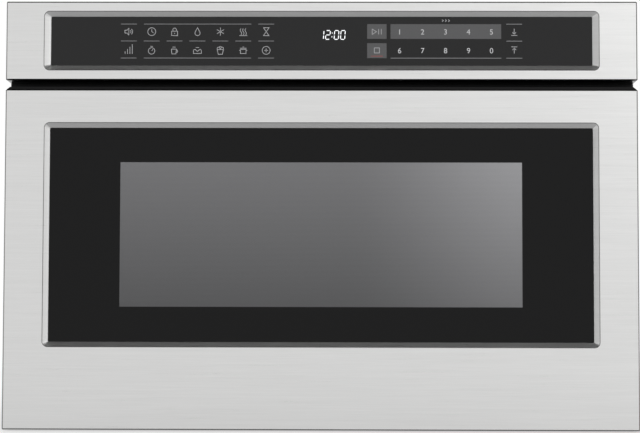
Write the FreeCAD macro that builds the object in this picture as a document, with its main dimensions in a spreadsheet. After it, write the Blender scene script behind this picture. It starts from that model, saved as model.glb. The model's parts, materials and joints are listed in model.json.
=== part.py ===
"""A built-in microwave drawer: cabinet, oven, power and cooling parts, touch panel, and a drawer on
telescopic slides that a gear motor drives through a rack and pinion.

Millimetres. +X is the right of someone who faces the front, +Y goes into the cabinet, +Z is up.
The origin is on the underside of the skids, below the middle of the overall depth and width.
"""
import FreeCAD, Part
import math
import os
import re
import Sketcher

Vector = FreeCAD.Vector
Rotation = FreeCAD.Rotation
Placement = FreeCAD.Placement

# ---------------------------------------------------------------------------------------------
# Driving dimensions, in millimetres and degrees. Each one becomes a named cell of the sheet.
# ---------------------------------------------------------------------------------------------
SIZES = {
    # overall
    "overall_depth": 629,
    "front_width": 682.6,
    "front_thickness": 38,
    "front_lift": 1.5,
    "drawer_front_height": 366.5,
    "front_gap": 9.8,
    "panel_height": 86,
    # stainless fronts: folded pans with a bevelled recess
    "skin_sheet": 1.2,
    "panel_pan_depth": 36.5,
    "drawer_pan_depth": 29,
    "fold_radius": 1.5,
    "bevel_depth": 4.2,
    "bevel_edge_break": 0.5,
    "land_depth": 5.2,
    "land_width": 3,
    "recess_corner": 5.5,
    "opening_corner": 1.2,
    "door_recess_halfwidth": 298.5,
    "door_recess_low": 90.5,
    "door_recess_high": 331.5,
    "door_opening_halfwidth": 293,
    "door_opening_low": 95.7,
    "door_opening_high": 326.4,
    "panel_recess_halfwidth": 299.6,
    "panel_recess_low": 389.1,
    "panel_recess_high": 452.7,
    "panel_opening_halfwidth": 293,
    "panel_opening_low": 394.5,
    "panel_opening_high": 447.7,
    # glass and electronics of the control panel
    "glass_overlap": 5,
    "door_glass_thickness": 4,
    "control_glass_thickness": 3,
    "circuit_board_thickness": 1.6,
    "display_middle": 12.5,
    "display_width": 56,
    "display_height": 26,
    "display_depth": 7,
    # drawer front
    "top_cap_height": 2.8,
    "top_cap_slant": 4.7,
    "chassis_fit": 0.3,
    "chassis_rim": 14,
    "chassis_back": 31.5,
    "window_halfwidth": 216.6,
    "window_low": 133.4,
    "window_high": 289.3,
    "window_margin": 8,
    "screen_thickness": 0.8,
    "choke_thickness": 3.2,
    "choke_halfwidth": 256,
    "choke_low": 72,
    "choke_high": 340,
    "inner_glass_halfwidth": 214,
    "inner_glass_low": 108,
    "inner_glass_high": 290,
    "inner_glass_thickness": 4,
    # cabinet
    "flange_width": 682.6,
    "flange_low": 3,
    "flange_high": 460,
    "flange_sheet": 1.5,
    "hem_sheet": 1.2,
    "hem_gap": 0.5,
    "mount_hole_spacing_across": 652,
    "mount_hole_spacing_up": 300,
    "mount_hole_low": 60,
    "mount_hole_radius": 2.5,
    "case_width": 632,
    "case_top": 446,
    "case_sheet": 0.8,
    "base_sheet": 1.2,
    "base_flange": 14,
    "skid_height": 3,
    "skid_width": 28,
    "skid_middle": 262,
    "screw_head": 2.2,
    "screw_head_radius": 4,
    "gland_place": -262,
    "gland_height": 64,
    "gland_bore_radius": 4.5,
    # air slots and louvres
    "vent_width": 6,
    "vent_pitch": 12,
    "base_vent_length": 60,
    "base_vent_pitch": 16,
    "side_vent_start": 190,
    "side_vent_low": 300,
    "side_vent_high": 360,
    "top_vent_start": 210,
    "top_vent_length": 60,
    "louvre_width": 96,
    "louvre_pitch": 11,
    "exhaust_place": 60,
    "exhaust_low": 330,
    "exhaust_high": 410,
    # oven cavity, inside sizes
    "cavity_halfwidth": 227,
    "cavity_low": 96,
    "cavity_high": 302,
    "cavity_back": 168,
    "cavity_sheet": 1.2,
    "mouth_halfwidth": 232,
    "mouth_low": 90,
    "mouth_high": 308,
    "cavity_vent_start": -40,
    "cavity_vent_pitch": 14,
    "cavity_vent_low": 236,
    "cavity_vent_high": 276,
    "duct_depth": 46,
    "duct_wall": 3,
    "duct_end": 210,
    "lamp_place": 60,
    "lamp_height": 250,
    "cutout_across": 140,
    "cutout_along": 40,
    # microwave feed
    "stirrer_place": -60,
    "stirrer_radius": 78,
    "chamber_radius": 92,
    "chamber_height": 40,
    "stirrer_cover_size": 200,
    "waveguide_width": 90,
    "waveguide_height": 38,
    "waveguide_end": 262,
    "magnetron_place": 222,
    "magnetron_width": 94,
    "magnetron_depth": 74,
    "magnetron_height": 64,
    "magnetron_fin_count": 8,
    "magnetron_fin_pitch": 7,
    # drawer tub, inside sizes
    "tub_halfwidth": 220,
    "tub_back": 160,
    "tub_low": 101,
    "tub_wall_height": 112,
    "tub_sheet": 2,
    "tub_lip": 4,
    "tub_groove_width": 8,
    "tub_groove_pitch": 55,
    "tray_thickness": 6,
    "tray_gap": 3,
    "tray_rim": 9,
    "tray_dip": 1.5,
    "tray_corner": 14,
    # telescopic slides
    "slide_length": 450,
    "slide_height": 45,
    "slide_depth": 12.7,
    "slide_middle_height": 52.5,
    "slide_face": 284,
    "slide_start": -270,
    "slide_sheet": 1.2,
    "slide_hole_inset": 30,
    "slide_hole_radius": 3.5,
    "slide_slot_low": 22,
    "slide_slot_high": 84,
    "bracket_sheet": 2,
    # rack and pinion
    "gear_pitch_step": 2,
    "pinion_teeth": 18,
    "rack_teeth": 67,
    "pressure_angle": 20,
    "tooth_backlash": 0.3,
    "gear_width": 11,
    "rack_inner": 270,
    "rack_back_height": 14,
    "pinion_place": -235,
    "pitch_line_height": 54,
    "shaft_radius": 4,
    "shaft_clearance": 0.05,
    "shaft_depth": 10,
    "gearbox_gap": 4,
    "riser_place": 222,
    "riser_sheet": 2.5,
    "motor_foot": 26,
    "motor_length": 56,
    "motor_radius": 18,
    # power parts on the base plate
    "transformer_place": 120,
    "transformer_start": 208,
    "transformer_width": 100,
    "transformer_depth": 58,
    "transformer_height": 84,
    "capacitor_across": -15,
    "capacitor_along": 251,
    "capacitor_height": 110,
    "filter_left": -296,
    "filter_start": 180,
    "filter_standoff": 8,
    # cooling fan
    "fan_place": -170,
    "fan_height": 160,
    "fan_radius": 54,
    "fan_hub_radius": 16,
    "fan_blades": 7,
    "fan_depth": 16,
    "fan_clearance": 3,
    "fan_blade_chord": 24,
    "fan_blade_camber": 3,
    "fan_blade_pitch": 52,
}

CELLS = set(SIZES)
doc = FreeCAD.newDocument("microwave_drawer")
sheet = doc.addObject("Spreadsheet::Sheet", "Dim")
for row, (cell, size) in enumerate(SIZES.items(), start=1):
    sheet.set(f"A{row}", cell)
    sheet.set(f"B{row}", str(size))
    sheet.setAlias(f"B{row}", cell)
doc.recompute()

# Planes that many pieces share, as expressions on the sheet.
FRONT = "(-overall_depth / 2)"
FLANGE_BACK = f"({FRONT} + front_thickness)"
FLANGE_FACE = f"({FLANGE_BACK} - flange_sheet)"
REAR_FACE = "(overall_depth / 2 - screw_head)"
REAR_INSIDE = f"({REAR_FACE} - case_sheet)"
HALF_FRONT = "(front_width / 2)"
HALF_CASE = "(case_width / 2)"
INSIDE_CASE = "(case_width / 2 - case_sheet)"
DRAWER_TOP = "(front_lift + drawer_front_height)"
PANEL_LOW = f"({DRAWER_TOP} + front_gap)"
PANEL_HIGH = f"({PANEL_LOW} + panel_height)"
GLASS_FACE = f"({FRONT} + land_depth)"
DOOR_GLASS_BACK = f"({GLASS_FACE} + door_glass_thickness)"
CHASSIS_BACK = f"({FRONT} + chassis_back)"
SCREEN_BACK = f"({CHASSIS_BACK} + screen_thickness)"
CHOKE_BACK = f"({SCREEN_BACK} + choke_thickness)"
FLOOR_TOP = "(skid_height + base_sheet)"
CEILING_TOP = "(cavity_high + cavity_sheet)"
GEARBOX_FACE = "(rack_inner - gearbox_gap)"
GLAND = ("gland_place", "gland_height")
LAMP = ("lamp_place", "lamp_height")
SIDES = {"left": -1, "right": 1}


# ---------------------------------------------------------------------------------------------
# Helpers
# ---------------------------------------------------------------------------------------------
def on_sheet(expression):
    """The expression with each cell name written as the document needs it."""
    def full_name(word):
        return f"Dim.{word.group()}" if word.group() in CELLS else word.group()
    return re.sub(r"[a-z]\w*", full_name, str(expression))


def value(expression):
    return float(sheet.evalExpression(on_sheet(expression)))


def bind(thing, setting, expression):
    thing.setExpression(setting, on_sheet(expression))


def mirrored(sign, low, high):
    """The span from low to high on the right (sign 1), or its mirror image on the left (-1)."""
    return (low, high) if sign > 0 else (f"-({high})", f"-({low})")


def block(name, x, y, z):
    """A box between two places on each axis."""
    solid = doc.addObject("Part::Box", name)
    for side, axis, (low, high) in (("Length", "x", x), ("Width", "y", y), ("Height", "z", z)):
        bind(solid, side, f"({high}) - ({low})")
        bind(solid, f"Placement.Base.{axis}", low)
    return solid


TURNED = {"x": Rotation(Vector(0, 1, 0), 90), "y": Rotation(Vector(1, 0, 0), -90), "z": Rotation()}


def rod(name, axis, centre, radius, low, high):
    """A cylinder along an axis, from low to high; centre gives its place on the other two axes."""
    solid = doc.addObject("Part::Cylinder", name)
    solid.Placement = Placement(Vector(), TURNED[axis])
    bind(solid, "Radius", radius)
    bind(solid, "Height", f"({high}) - ({low})")
    places = dict(zip([other for other in "xyz" if other != axis], centre))
    places[axis] = low
    for other, place in places.items():
        bind(solid, f"Placement.Base.{other}", place)
    return solid


def fuse(name, *solids):
    joined = doc.addObject("Part::MultiFuse", name)
    joined.Shapes = list(solids)
    return joined


def cut(name, base, *tools):
    """The base less its tools, which don't touch each other."""
    less = doc.addObject("Part::Cut", name)
    less.Base = base
    if len(tools) == 1:
        less.Tool = tools[0]
    else:
        group = doc.addObject("Part::Compound", f"{name}_tools")
        group.Links = list(tools)
        less.Tool = group
    return less


def group(name, *solids):
    """Separate solids in one node, as for identical fasteners."""
    together = doc.addObject("Part::Compound", name)
    together.Links = list(solids)
    return together


def new_body(name):
    return doc.addObject("PartDesign::Body", f"{name}_body")


def sketch_on(body, plane, place):
    """An empty sketch on one of the body's origin planes, moved along its axis to a place."""
    sketch = body.newObject("Sketcher::SketchObject", "outline")
    origin_plane = next(each for each in body.Origin.OriginFeatures if each.Role == plane)
    sketch.AttachmentSupport = [(origin_plane, "")]
    sketch.MapMode = "FlatFace"
    normal = "-" if plane == "XZ_Plane" else ""
    bind(sketch, "AttachmentOffset.Base.z", f"{normal}({place})")
    return sketch


def place_point(sketch, line, end, across, up):
    """Fix one end of a line at a place on the sheet."""
    for kind, axis, place in (("DistanceX", -2, across), ("DistanceY", -1, up)):
        if abs(value(place)) < 1e-9:
            sketch.addConstraint(Sketcher.Constraint("PointOnObject", line, end, axis))
            continue
        number = sketch.addConstraint(Sketcher.Constraint(kind, -1, 1, line, end, value(place)))
        bind(sketch, f"Constraints[{number}]", place)


def polygon(*corners):
    """Draws a closed outline through corners, each an (across, up) pair of expressions."""
    def draw(sketch):
        points = [Vector(value(across), value(up), 0) for across, up in corners]
        count = len(points)
        for index, point in enumerate(points):
            sketch.addGeometry(Part.LineSegment(point, points[(index + 1) % count]))
        for index in range(count):
            sketch.addConstraint(Sketcher.Constraint("Coincident", index, 2, (index + 1) % count, 1))
        for index, (across, up) in enumerate(corners):
            place_point(sketch, index, 1, across, up)
    return draw


def rectangle(left, right, low, high):
    return polygon((left, low), (right, low), (right, high), (left, high))


def around(centre, half_across, half_up):
    """Draws a rectangle about a centre."""
    across, up = centre
    return rectangle(
        f"{across} - {half_across}", f"{across} + {half_across}", f"{up} - {half_up}", f"{up} + {half_up}",
    )


def rounded_rectangle(left, right, low, high, radius):
    """Draws a rectangle with equal round corners."""
    def draw(sketch):
        west, east, south, north = (value(place) for place in (left, right, low, high))
        corner = value(radius)
        lines = (
            (west + corner, south, east - corner, south),
            (east, south + corner, east, north - corner),
            (east - corner, north, west + corner, north),
            (west, north - corner, west, south + corner),
        )
        for from_x, from_y, to_x, to_y in lines:
            sketch.addGeometry(Part.LineSegment(Vector(from_x, from_y, 0), Vector(to_x, to_y, 0)))
        centres = (
            (east - corner, south + corner),
            (east - corner, north - corner),
            (west + corner, north - corner),
            (west + corner, south + corner),
        )
        quarter = math.pi / 2
        for index, (x, y) in enumerate(centres):
            circle = Part.Circle(Vector(x, y, 0), Vector(0, 0, 1), corner)
            start = (index - 1) * quarter
            sketch.addGeometry(Part.ArcOfCircle(circle, start, start + quarter))
        for index in range(4):
            sketch.addConstraint(Sketcher.Constraint("Tangent", index, 2, 4 + index, 1))
            sketch.addConstraint(Sketcher.Constraint("Tangent", 4 + index, 2, (index + 1) % 4, 1))
            level = "Horizontal" if index % 2 == 0 else "Vertical"
            sketch.addConstraint(Sketcher.Constraint(level, index))
        for index in (4, 5, 6):
            sketch.addConstraint(Sketcher.Constraint("Equal", index, index + 1))
        bound = (
            (Sketcher.Constraint("Radius", 4, corner), radius),
            (Sketcher.Constraint("DistanceX", -1, 1, 3, 1, west), left),
            (Sketcher.Constraint("DistanceX", -1, 1, 1, 1, east), right),
            (Sketcher.Constraint("DistanceY", -1, 1, 0, 1, south), low),
            (Sketcher.Constraint("DistanceY", -1, 1, 2, 1, north), high),
        )
        for constraint, expression in bound:
            number = sketch.addConstraint(constraint)
            bind(sketch, f"Constraints[{number}]", expression)
    return draw


def regular(across, up, radius, sides):
    """Draws a regular polygon about a centre, with its first corner to the right."""
    step = 360 / sides
    return polygon(*[
        (f"{across} + ({radius}) * cos({step * corner})", f"{up} + ({radius}) * sin({step * corner})")
        for corner in range(sides)
    ])


def clipped(left, right, low, high, corner):
    """Draws a rectangle with its corners cut off."""
    return polygon(
        (f"{left} + {corner}", low), (f"{right} - {corner}", low), (right, f"{low} + {corner}"),
        (right, f"{high} - {corner}"), (f"{right} - {corner}", high), (f"{left} + {corner}", high),
        (left, f"{high} - {corner}"), (left, f"{low} + {corner}"),
    )


def circle(across, up, radius):
    """Draws a circle."""
    def draw(sketch):
        centre = Vector(value(across), value(up), 0)
        sketch.addGeometry(Part.Circle(centre, Vector(0, 0, 1), value(radius)))
        place_point(sketch, 0, 3, across, up)
        number = sketch.addConstraint(Sketcher.Constraint("Radius", 0, value(radius)))
        bind(sketch, f"Constraints[{number}]", radius)
    return draw


def pad(body, plane, draw, low, high):
    """Adds the outline's prism, between two places along the plane's axis."""
    sketch = sketch_on(body, plane, high if plane == "XZ_Plane" else low)
    draw(sketch)
    feature = body.newObject("PartDesign::Pad", "pad")
    feature.Profile = sketch
    bind(feature, "Length", f"({high}) - ({low})")
    doc.recompute()
    return feature


def pocket(body, plane, draw, low, high):
    """Removes the outline's prism, between two places along the plane's axis."""
    before = body.Shape.Volume
    sketch = sketch_on(body, plane, low if plane == "XZ_Plane" else high)
    draw(sketch)
    feature = body.newObject("PartDesign::Pocket", "pocket")
    feature.Profile = sketch
    bind(feature, "Length", f"({high}) - ({low})")
    doc.recompute()
    if body.Shape.Volume > before - 1e-3:
        raise RuntimeError(f"{body.Name}: a pocket removed nothing")
    return feature


def axis_of(body, role):
    return next(each for each in body.Origin.OriginFeatures if each.Role == role)


def repeat(body, feature, role, pitch, count, backwards=False):
    """Repeats a feature in a straight row."""
    pattern = body.newObject("PartDesign::LinearPattern", "row")
    pattern.Originals = [feature]
    pattern.Direction = (axis_of(body, role), [""])
    pattern.Reversed = backwards
    pattern.Mode = "Spacing"
    bind(pattern, "Offset", pitch)
    pattern.Occurrences = count
    body.Tip = pattern
    doc.recompute()
    return pattern


def repeat_round(body, feature, role, count):
    """Repeats a feature round an axis."""
    pattern = body.newObject("PartDesign::PolarPattern", "ring")
    pattern.Originals = [feature]
    pattern.Axis = (axis_of(body, role), [""])
    pattern.Angle = 360
    pattern.Occurrences = count
    body.Tip = pattern
    doc.recompute()
    return pattern


def fillet(body, radius, chosen):
    """Rounds the body's edges for which the test is true."""
    base = body.Tip
    edges = [f"Edge{number}" for number, edge in enumerate(base.Shape.Edges, start=1) if chosen(edge)]
    if not edges:
        raise RuntimeError(f"{body.Name}: no edge to round")
    feature = body.newObject("PartDesign::Fillet", "rounding")
    feature.Base = (base, edges)
    bind(feature, "Radius", radius)
    doc.recompute()
    return feature


def chamfer(body, size, chosen):
    """Breaks the body's edges for which the test is true."""
    base = body.Tip
    edges = [f"Edge{number}" for number, edge in enumerate(base.Shape.Edges, start=1) if chosen(edge)]
    if not edges:
        raise RuntimeError(f"{body.Name}: no edge to break")
    feature = body.newObject("PartDesign::Chamfer", "broken_edge")
    feature.Base = (base, edges)
    bind(feature, "Size", size)
    doc.recompute()
    return feature


def flat_at(edge, axis, place, tolerance=1e-4):
    """True where the whole edge lies at one place along an axis."""
    bounds = edge.BoundBox
    low, high = getattr(bounds, f"{axis}Min"), getattr(bounds, f"{axis}Max")
    return abs(low - place) < tolerance and abs(high - place) < tolerance


nodes = []


def node(label, thing):
    """Names a finished sub-part."""
    thing.Label = label
    nodes.append(thing)
    return thing


# ---------------------------------------------------------------------------------------------
# Stainless fronts
# ---------------------------------------------------------------------------------------------
def front_pan(label, low, high, depth, recess, opening):
    """A folded stainless pan whose face steps back through a bevelled frame to an opening."""
    pan = new_body(label)
    face_back = f"{FRONT} + skin_sheet"
    outside = rectangle(f"-{HALF_FRONT}", HALF_FRONT, low, high)
    pad(pan, "XZ_Plane", outside, FRONT, f"{FRONT} + {depth}")
    inside = rectangle(
        f"-{HALF_FRONT} + skin_sheet", f"{HALF_FRONT} - skin_sheet",
        f"{low} + skin_sheet", f"{high} - skin_sheet",
    )
    pocket(pan, "XZ_Plane", inside, face_back, f"{FRONT} + {depth}")
    halfwidth, recess_low, recess_high = recess
    edge_break = "bevel_edge_break"
    rim = (f"{halfwidth} + {edge_break}", f"{recess_low} - {edge_break}", f"{recess_high} + {edge_break}")
    land = clipped(
        f"-{halfwidth} - land_width", f"{halfwidth} + land_width",
        f"{recess_low} - land_width", f"{recess_high} + land_width", "recess_corner",
    )
    pad(pan, "XZ_Plane", land, FRONT, GLASS_FACE)
    sections = []
    for (half, bottom, top), corner, place in (
        (rim, f"recess_corner + {edge_break}", FRONT),
        (recess, "recess_corner", f"{FRONT} + {edge_break} / 2"),
        (opening, "opening_corner", f"{FRONT} + bevel_depth"),
    ):
        section = sketch_on(pan, "XZ_Plane", place)
        rounded_rectangle(f"-({half})", half, bottom, top, corner)(section)
        sections.append(section)
    bevel = pan.newObject("PartDesign::SubtractiveLoft", "bevel")
    bevel.Profile = sections[0]
    bevel.Sections = sections[1:]
    bevel.Ruled = True
    doc.recompute()
    half, bottom, top = opening
    glass_opening = rounded_rectangle(f"-{half}", half, bottom, top, "opening_corner")
    pocket(pan, "XZ_Plane", glass_opening, f"{FRONT} + bevel_depth / 2", f"{GLASS_FACE} + 1")
    front, half_width = value(FRONT), value(HALF_FRONT)
    bottom_edge, top_edge = value(low), value(high)

    def folded(edge):
        bounds = edge.BoundBox
        outside = (
            max(abs(bounds.XMin), abs(bounds.XMax)) > half_width - 0.01
            or bounds.ZMin < bottom_edge + 0.01 or bounds.ZMax > top_edge - 0.01
        )
        return flat_at(edge, "Y", front) and outside

    fillet(pan, "fold_radius", folded)
    return node(label, pan)


def door_skin():
    recess = ("door_recess_halfwidth", "door_recess_low", "door_recess_high")
    opening = ("door_opening_halfwidth", "door_opening_low", "door_opening_high")
    front_pan("door_skin", "front_lift", DRAWER_TOP, "drawer_pan_depth", recess, opening)


def control_panel_bezel():
    recess = ("panel_recess_halfwidth", "panel_recess_low", "panel_recess_high")
    opening = ("panel_opening_halfwidth", "panel_opening_low", "panel_opening_high")
    front_pan("control_panel_bezel", PANEL_LOW, PANEL_HIGH, "panel_pan_depth", recess, opening)


# ---------------------------------------------------------------------------------------------
# Control panel behind its bezel
# ---------------------------------------------------------------------------------------------
def control_glass():
    glass = new_body("control_glass")
    shape = clipped(
        "-panel_opening_halfwidth - glass_overlap", "panel_opening_halfwidth + glass_overlap",
        "panel_opening_low - glass_overlap / 2", "panel_opening_high + glass_overlap / 2",
        "glass_overlap / 4",
    )
    pad(glass, "XZ_Plane", shape, GLASS_FACE, f"{GLASS_FACE} + control_glass_thickness")
    node("control_glass", glass)


CONTROL_GLASS_BACK = f"({GLASS_FACE} + control_glass_thickness)"
BOARD_FRONT = f"({CONTROL_GLASS_BACK} + display_depth)"
BOARD_BACK = f"({BOARD_FRONT} + circuit_board_thickness)"
PANEL_MIDDLE = "((panel_opening_low + panel_opening_high) / 2)"


def display_case():
    """The clock's housing on the board, with a shallow well in front of its digits."""
    across = ("display_middle - display_width / 2", "display_middle + display_width / 2")
    up = (f"{PANEL_MIDDLE} - display_height / 2", f"{PANEL_MIDDLE} + display_height / 2")
    body = block("display_block", across, (CONTROL_GLASS_BACK, BOARD_FRONT), up)
    well = block(
        "display_well",
        (f"{across[0]} + 3", f"{across[1]} - 3"),
        (f"{CONTROL_GLASS_BACK} - 1", f"{CONTROL_GLASS_BACK} + 2"),
        (f"{up[0]} + 3", f"{up[1]} - 3"),
    )
    return cut("display_case", body, well)


def control_board():
    """The circuit board with its connector, transformer and a row of relays on the back."""
    board = block(
        "board", ("-panel_opening_halfwidth + 3", "panel_opening_halfwidth - 3"),
        (BOARD_FRONT, BOARD_BACK), ("panel_opening_low + 2", "panel_opening_high - 2"),
    )
    pieces = [board, display_case()]
    connector, transformer, driver = (-200, 40, 10, 12), (-60, 34, 14, 28), (140, 60, 8, 10)
    relays = [(middle, 18, 14, 16) for middle in (0, 26, 52)]
    components = [connector, transformer, *relays, driver]
    for index, (middle, width, depth, height) in enumerate(components):
        pieces.append(block(
            f"component_{index}", (f"{middle - width / 2}", f"{middle + width / 2}"),
            (BOARD_BACK, f"{BOARD_BACK} + {depth}"),
            (f"{PANEL_MIDDLE} - {height / 2}", f"{PANEL_MIDDLE} + {height / 2}"),
        ))
    node("control_board", fuse("control_board", *pieces))


def panel_carrier():
    """The moulded frame that holds the glass and the board, screwed to the front frame."""
    carrier = new_body("panel_carrier")
    frame = rectangle(
        f"-{HALF_FRONT} + skin_sheet + chassis_fit", f"{HALF_FRONT} - skin_sheet - chassis_fit",
        f"{PANEL_LOW} + skin_sheet + chassis_fit", f"{PANEL_HIGH} - skin_sheet - chassis_fit",
    )
    pad(carrier, "XZ_Plane", frame, CONTROL_GLASS_BACK, FLANGE_FACE)
    well = rectangle(
        "-panel_opening_halfwidth + 1", "panel_opening_halfwidth - 1",
        "panel_opening_low + 1", "panel_opening_high - 1",
    )
    pocket(carrier, "XZ_Plane", well, f"{CONTROL_GLASS_BACK} - 1", f"{FLANGE_FACE} + 1")
    for sign in SIDES.values():
        end = rectangle(
            *mirrored(sign, "panel_opening_halfwidth + 10", f"{HALF_FRONT} - 12"),
            "panel_opening_low - 6", "panel_opening_high + 6",
        )
        pocket(carrier, "XZ_Plane", end, f"{CONTROL_GLASS_BACK} + 3", f"{FLANGE_FACE} + 1")
    node("panel_carrier", carrier)


# ---------------------------------------------------------------------------------------------
# Drawer front behind its skin
# ---------------------------------------------------------------------------------------------
def door_glass():
    glass = new_body("door_glass")
    shape = clipped(
        "-door_opening_halfwidth - glass_overlap", "door_opening_halfwidth + glass_overlap",
        "door_opening_low - glass_overlap", "door_opening_high + glass_overlap", "glass_overlap / 2",
    )
    pad(glass, "XZ_Plane", shape, GLASS_FACE, DOOR_GLASS_BACK)
    node("door_glass", glass)


def door_chassis():
    """The frame behind the skin: a rim against the skin, a well for the glass, a window."""
    chassis = new_body("door_chassis")
    gap = "(skin_sheet + chassis_fit)"
    outline = rectangle(
        f"-{HALF_FRONT} + {gap}", f"{HALF_FRONT} - {gap}", f"front_lift + {gap}", f"{DRAWER_TOP} - {gap}",
    )
    pad(chassis, "XZ_Plane", outline, f"{FRONT} + skin_sheet", CHASSIS_BACK)
    well = rectangle(
        f"-{HALF_FRONT} + chassis_rim", f"{HALF_FRONT} - chassis_rim",
        "front_lift + chassis_rim", f"{DRAWER_TOP} - chassis_rim",
    )
    pocket(chassis, "XZ_Plane", well, FRONT, DOOR_GLASS_BACK)
    window = clipped(
        "-window_halfwidth - window_margin", "window_halfwidth + window_margin",
        "window_low - window_margin", "window_high + window_margin", "window_margin / 2",
    )
    pocket(chassis, "XZ_Plane", window, FRONT, f"{CHASSIS_BACK} + 1")
    for across in (f"-{HALF_FRONT} + 22", f"{HALF_FRONT} - 60"):
        lightening = rectangle(across, f"{across} + 38", "choke_low + 30", "choke_high - 10")
        pocket(chassis, "XZ_Plane", lightening, f"{DOOR_GLASS_BACK} + 3", f"{CHASSIS_BACK} + 1")
    node("door_chassis", chassis)


def door_top_cap():
    """The black trim on the drawer front's upper edge; its ends slope inwards."""
    cap = new_body("door_top_cap")
    profile = polygon(
        (f"-{HALF_FRONT} + skin_sheet", DRAWER_TOP), (f"{HALF_FRONT} - skin_sheet", DRAWER_TOP),
        (f"{HALF_FRONT} - top_cap_slant", f"{DRAWER_TOP} + top_cap_height"),
        (f"-{HALF_FRONT} + top_cap_slant", f"{DRAWER_TOP} + top_cap_height"),
    )
    pad(cap, "XZ_Plane", profile, f"{FRONT} + fold_radius", CHASSIS_BACK)
    node("door_top_cap", cap)


def screen_plate():
    """The metal plate whose fine holes keep the microwaves in; its rim is turned forward."""
    screen = new_body("screen_plate")
    outer = clipped(
        "-window_halfwidth - 3 * window_margin", "window_halfwidth + 3 * window_margin",
        "window_low - 3 * window_margin", "window_high + 2 * window_margin", "window_margin",
    )
    pad(screen, "XZ_Plane", outer, CHASSIS_BACK, SCREEN_BACK)
    pan = clipped(
        "-window_halfwidth - window_margin + 1", "window_halfwidth + window_margin - 1",
        "window_low - window_margin + 1", "window_high + window_margin - 1", "window_margin / 2",
    )
    pad(screen, "XZ_Plane", pan, f"{CHASSIS_BACK} - window_margin", CHASSIS_BACK)
    wall = "(window_margin - 1 - screen_thickness)"
    hollow = clipped(
        f"-window_halfwidth - {wall}", f"window_halfwidth + {wall}",
        f"window_low - {wall}", f"window_high + {wall}", "window_margin / 2",
    )
    front_sheet = f"{CHASSIS_BACK} - window_margin + screen_thickness"
    pocket(screen, "XZ_Plane", hollow, front_sheet, f"{SCREEN_BACK} + 1")
    node("screen_plate", screen)


def inner_glass():
    glass = new_body("inner_glass")
    shape = rounded_rectangle(
        "-inner_glass_halfwidth", "inner_glass_halfwidth", "inner_glass_low", "inner_glass_high",
        "window_margin",
    )
    pad(glass, "XZ_Plane", shape, SCREEN_BACK, f"{SCREEN_BACK} + inner_glass_thickness")
    node("inner_glass", glass)


def choke_cover():
    """The moulded ring over the microwave choke, round the inner glass."""
    ring = new_body("choke_cover")
    outer = rounded_rectangle("-choke_halfwidth", "choke_halfwidth", "choke_low", "choke_high", "10")
    pad(ring, "XZ_Plane", outer, SCREEN_BACK, CHOKE_BACK)
    opening = rounded_rectangle(
        "-inner_glass_halfwidth - 0.2", "inner_glass_halfwidth + 0.2",
        "inner_glass_low - 0.2", "inner_glass_high + 0.2", "window_margin + 0.2",
    )
    pocket(ring, "XZ_Plane", opening, f"{SCREEN_BACK} - 1", f"{CHOKE_BACK} + 1")
    back = value(CHOKE_BACK)
    outside_low, outside_high = value("choke_low + 10.1"), value("choke_high - 10.1")
    outside_half = value("choke_halfwidth - 10.1")

    def outer_rim(edge):
        bounds = edge.BoundBox
        outside = (
            max(abs(bounds.XMin), abs(bounds.XMax)) > outside_half
            or bounds.ZMin < outside_low or bounds.ZMax > outside_high
        )
        return flat_at(edge, "Y", back) and outside

    chamfer(ring, "1", outer_rim)
    node("choke_cover", ring)


HOOK_NEAR, HOOK_FAR = "240", "246"
HOOK_LOW, HOOK_HIGH = "318", "334"


def latch_hooks():
    """The two hooks that reach through the front frame and press the interlock switches."""
    hooks = []
    for side, sign in SIDES.items():
        hook = new_body(f"latch_hook_{side}")
        profile = polygon(
            (CHOKE_BACK, HOOK_LOW), (f"{CHOKE_BACK} + 26", HOOK_LOW),
            (f"{CHOKE_BACK} + 30", f"{HOOK_LOW} + 4"),
            (f"{CHOKE_BACK} + 24", HOOK_HIGH), (f"{CHOKE_BACK} + 18", HOOK_HIGH),
            (f"{CHOKE_BACK} + 18", f"{HOOK_LOW} + 8"), (f"{CHOKE_BACK} + 4", f"{HOOK_LOW} + 8"),
            (CHOKE_BACK, HOOK_HIGH),
        )
        pad(hook, "YZ_Plane", profile, *mirrored(sign, HOOK_NEAR, HOOK_FAR))
        hooks.append(hook)
    node("latch_hooks", group("latch_hooks", *hooks))


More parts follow.
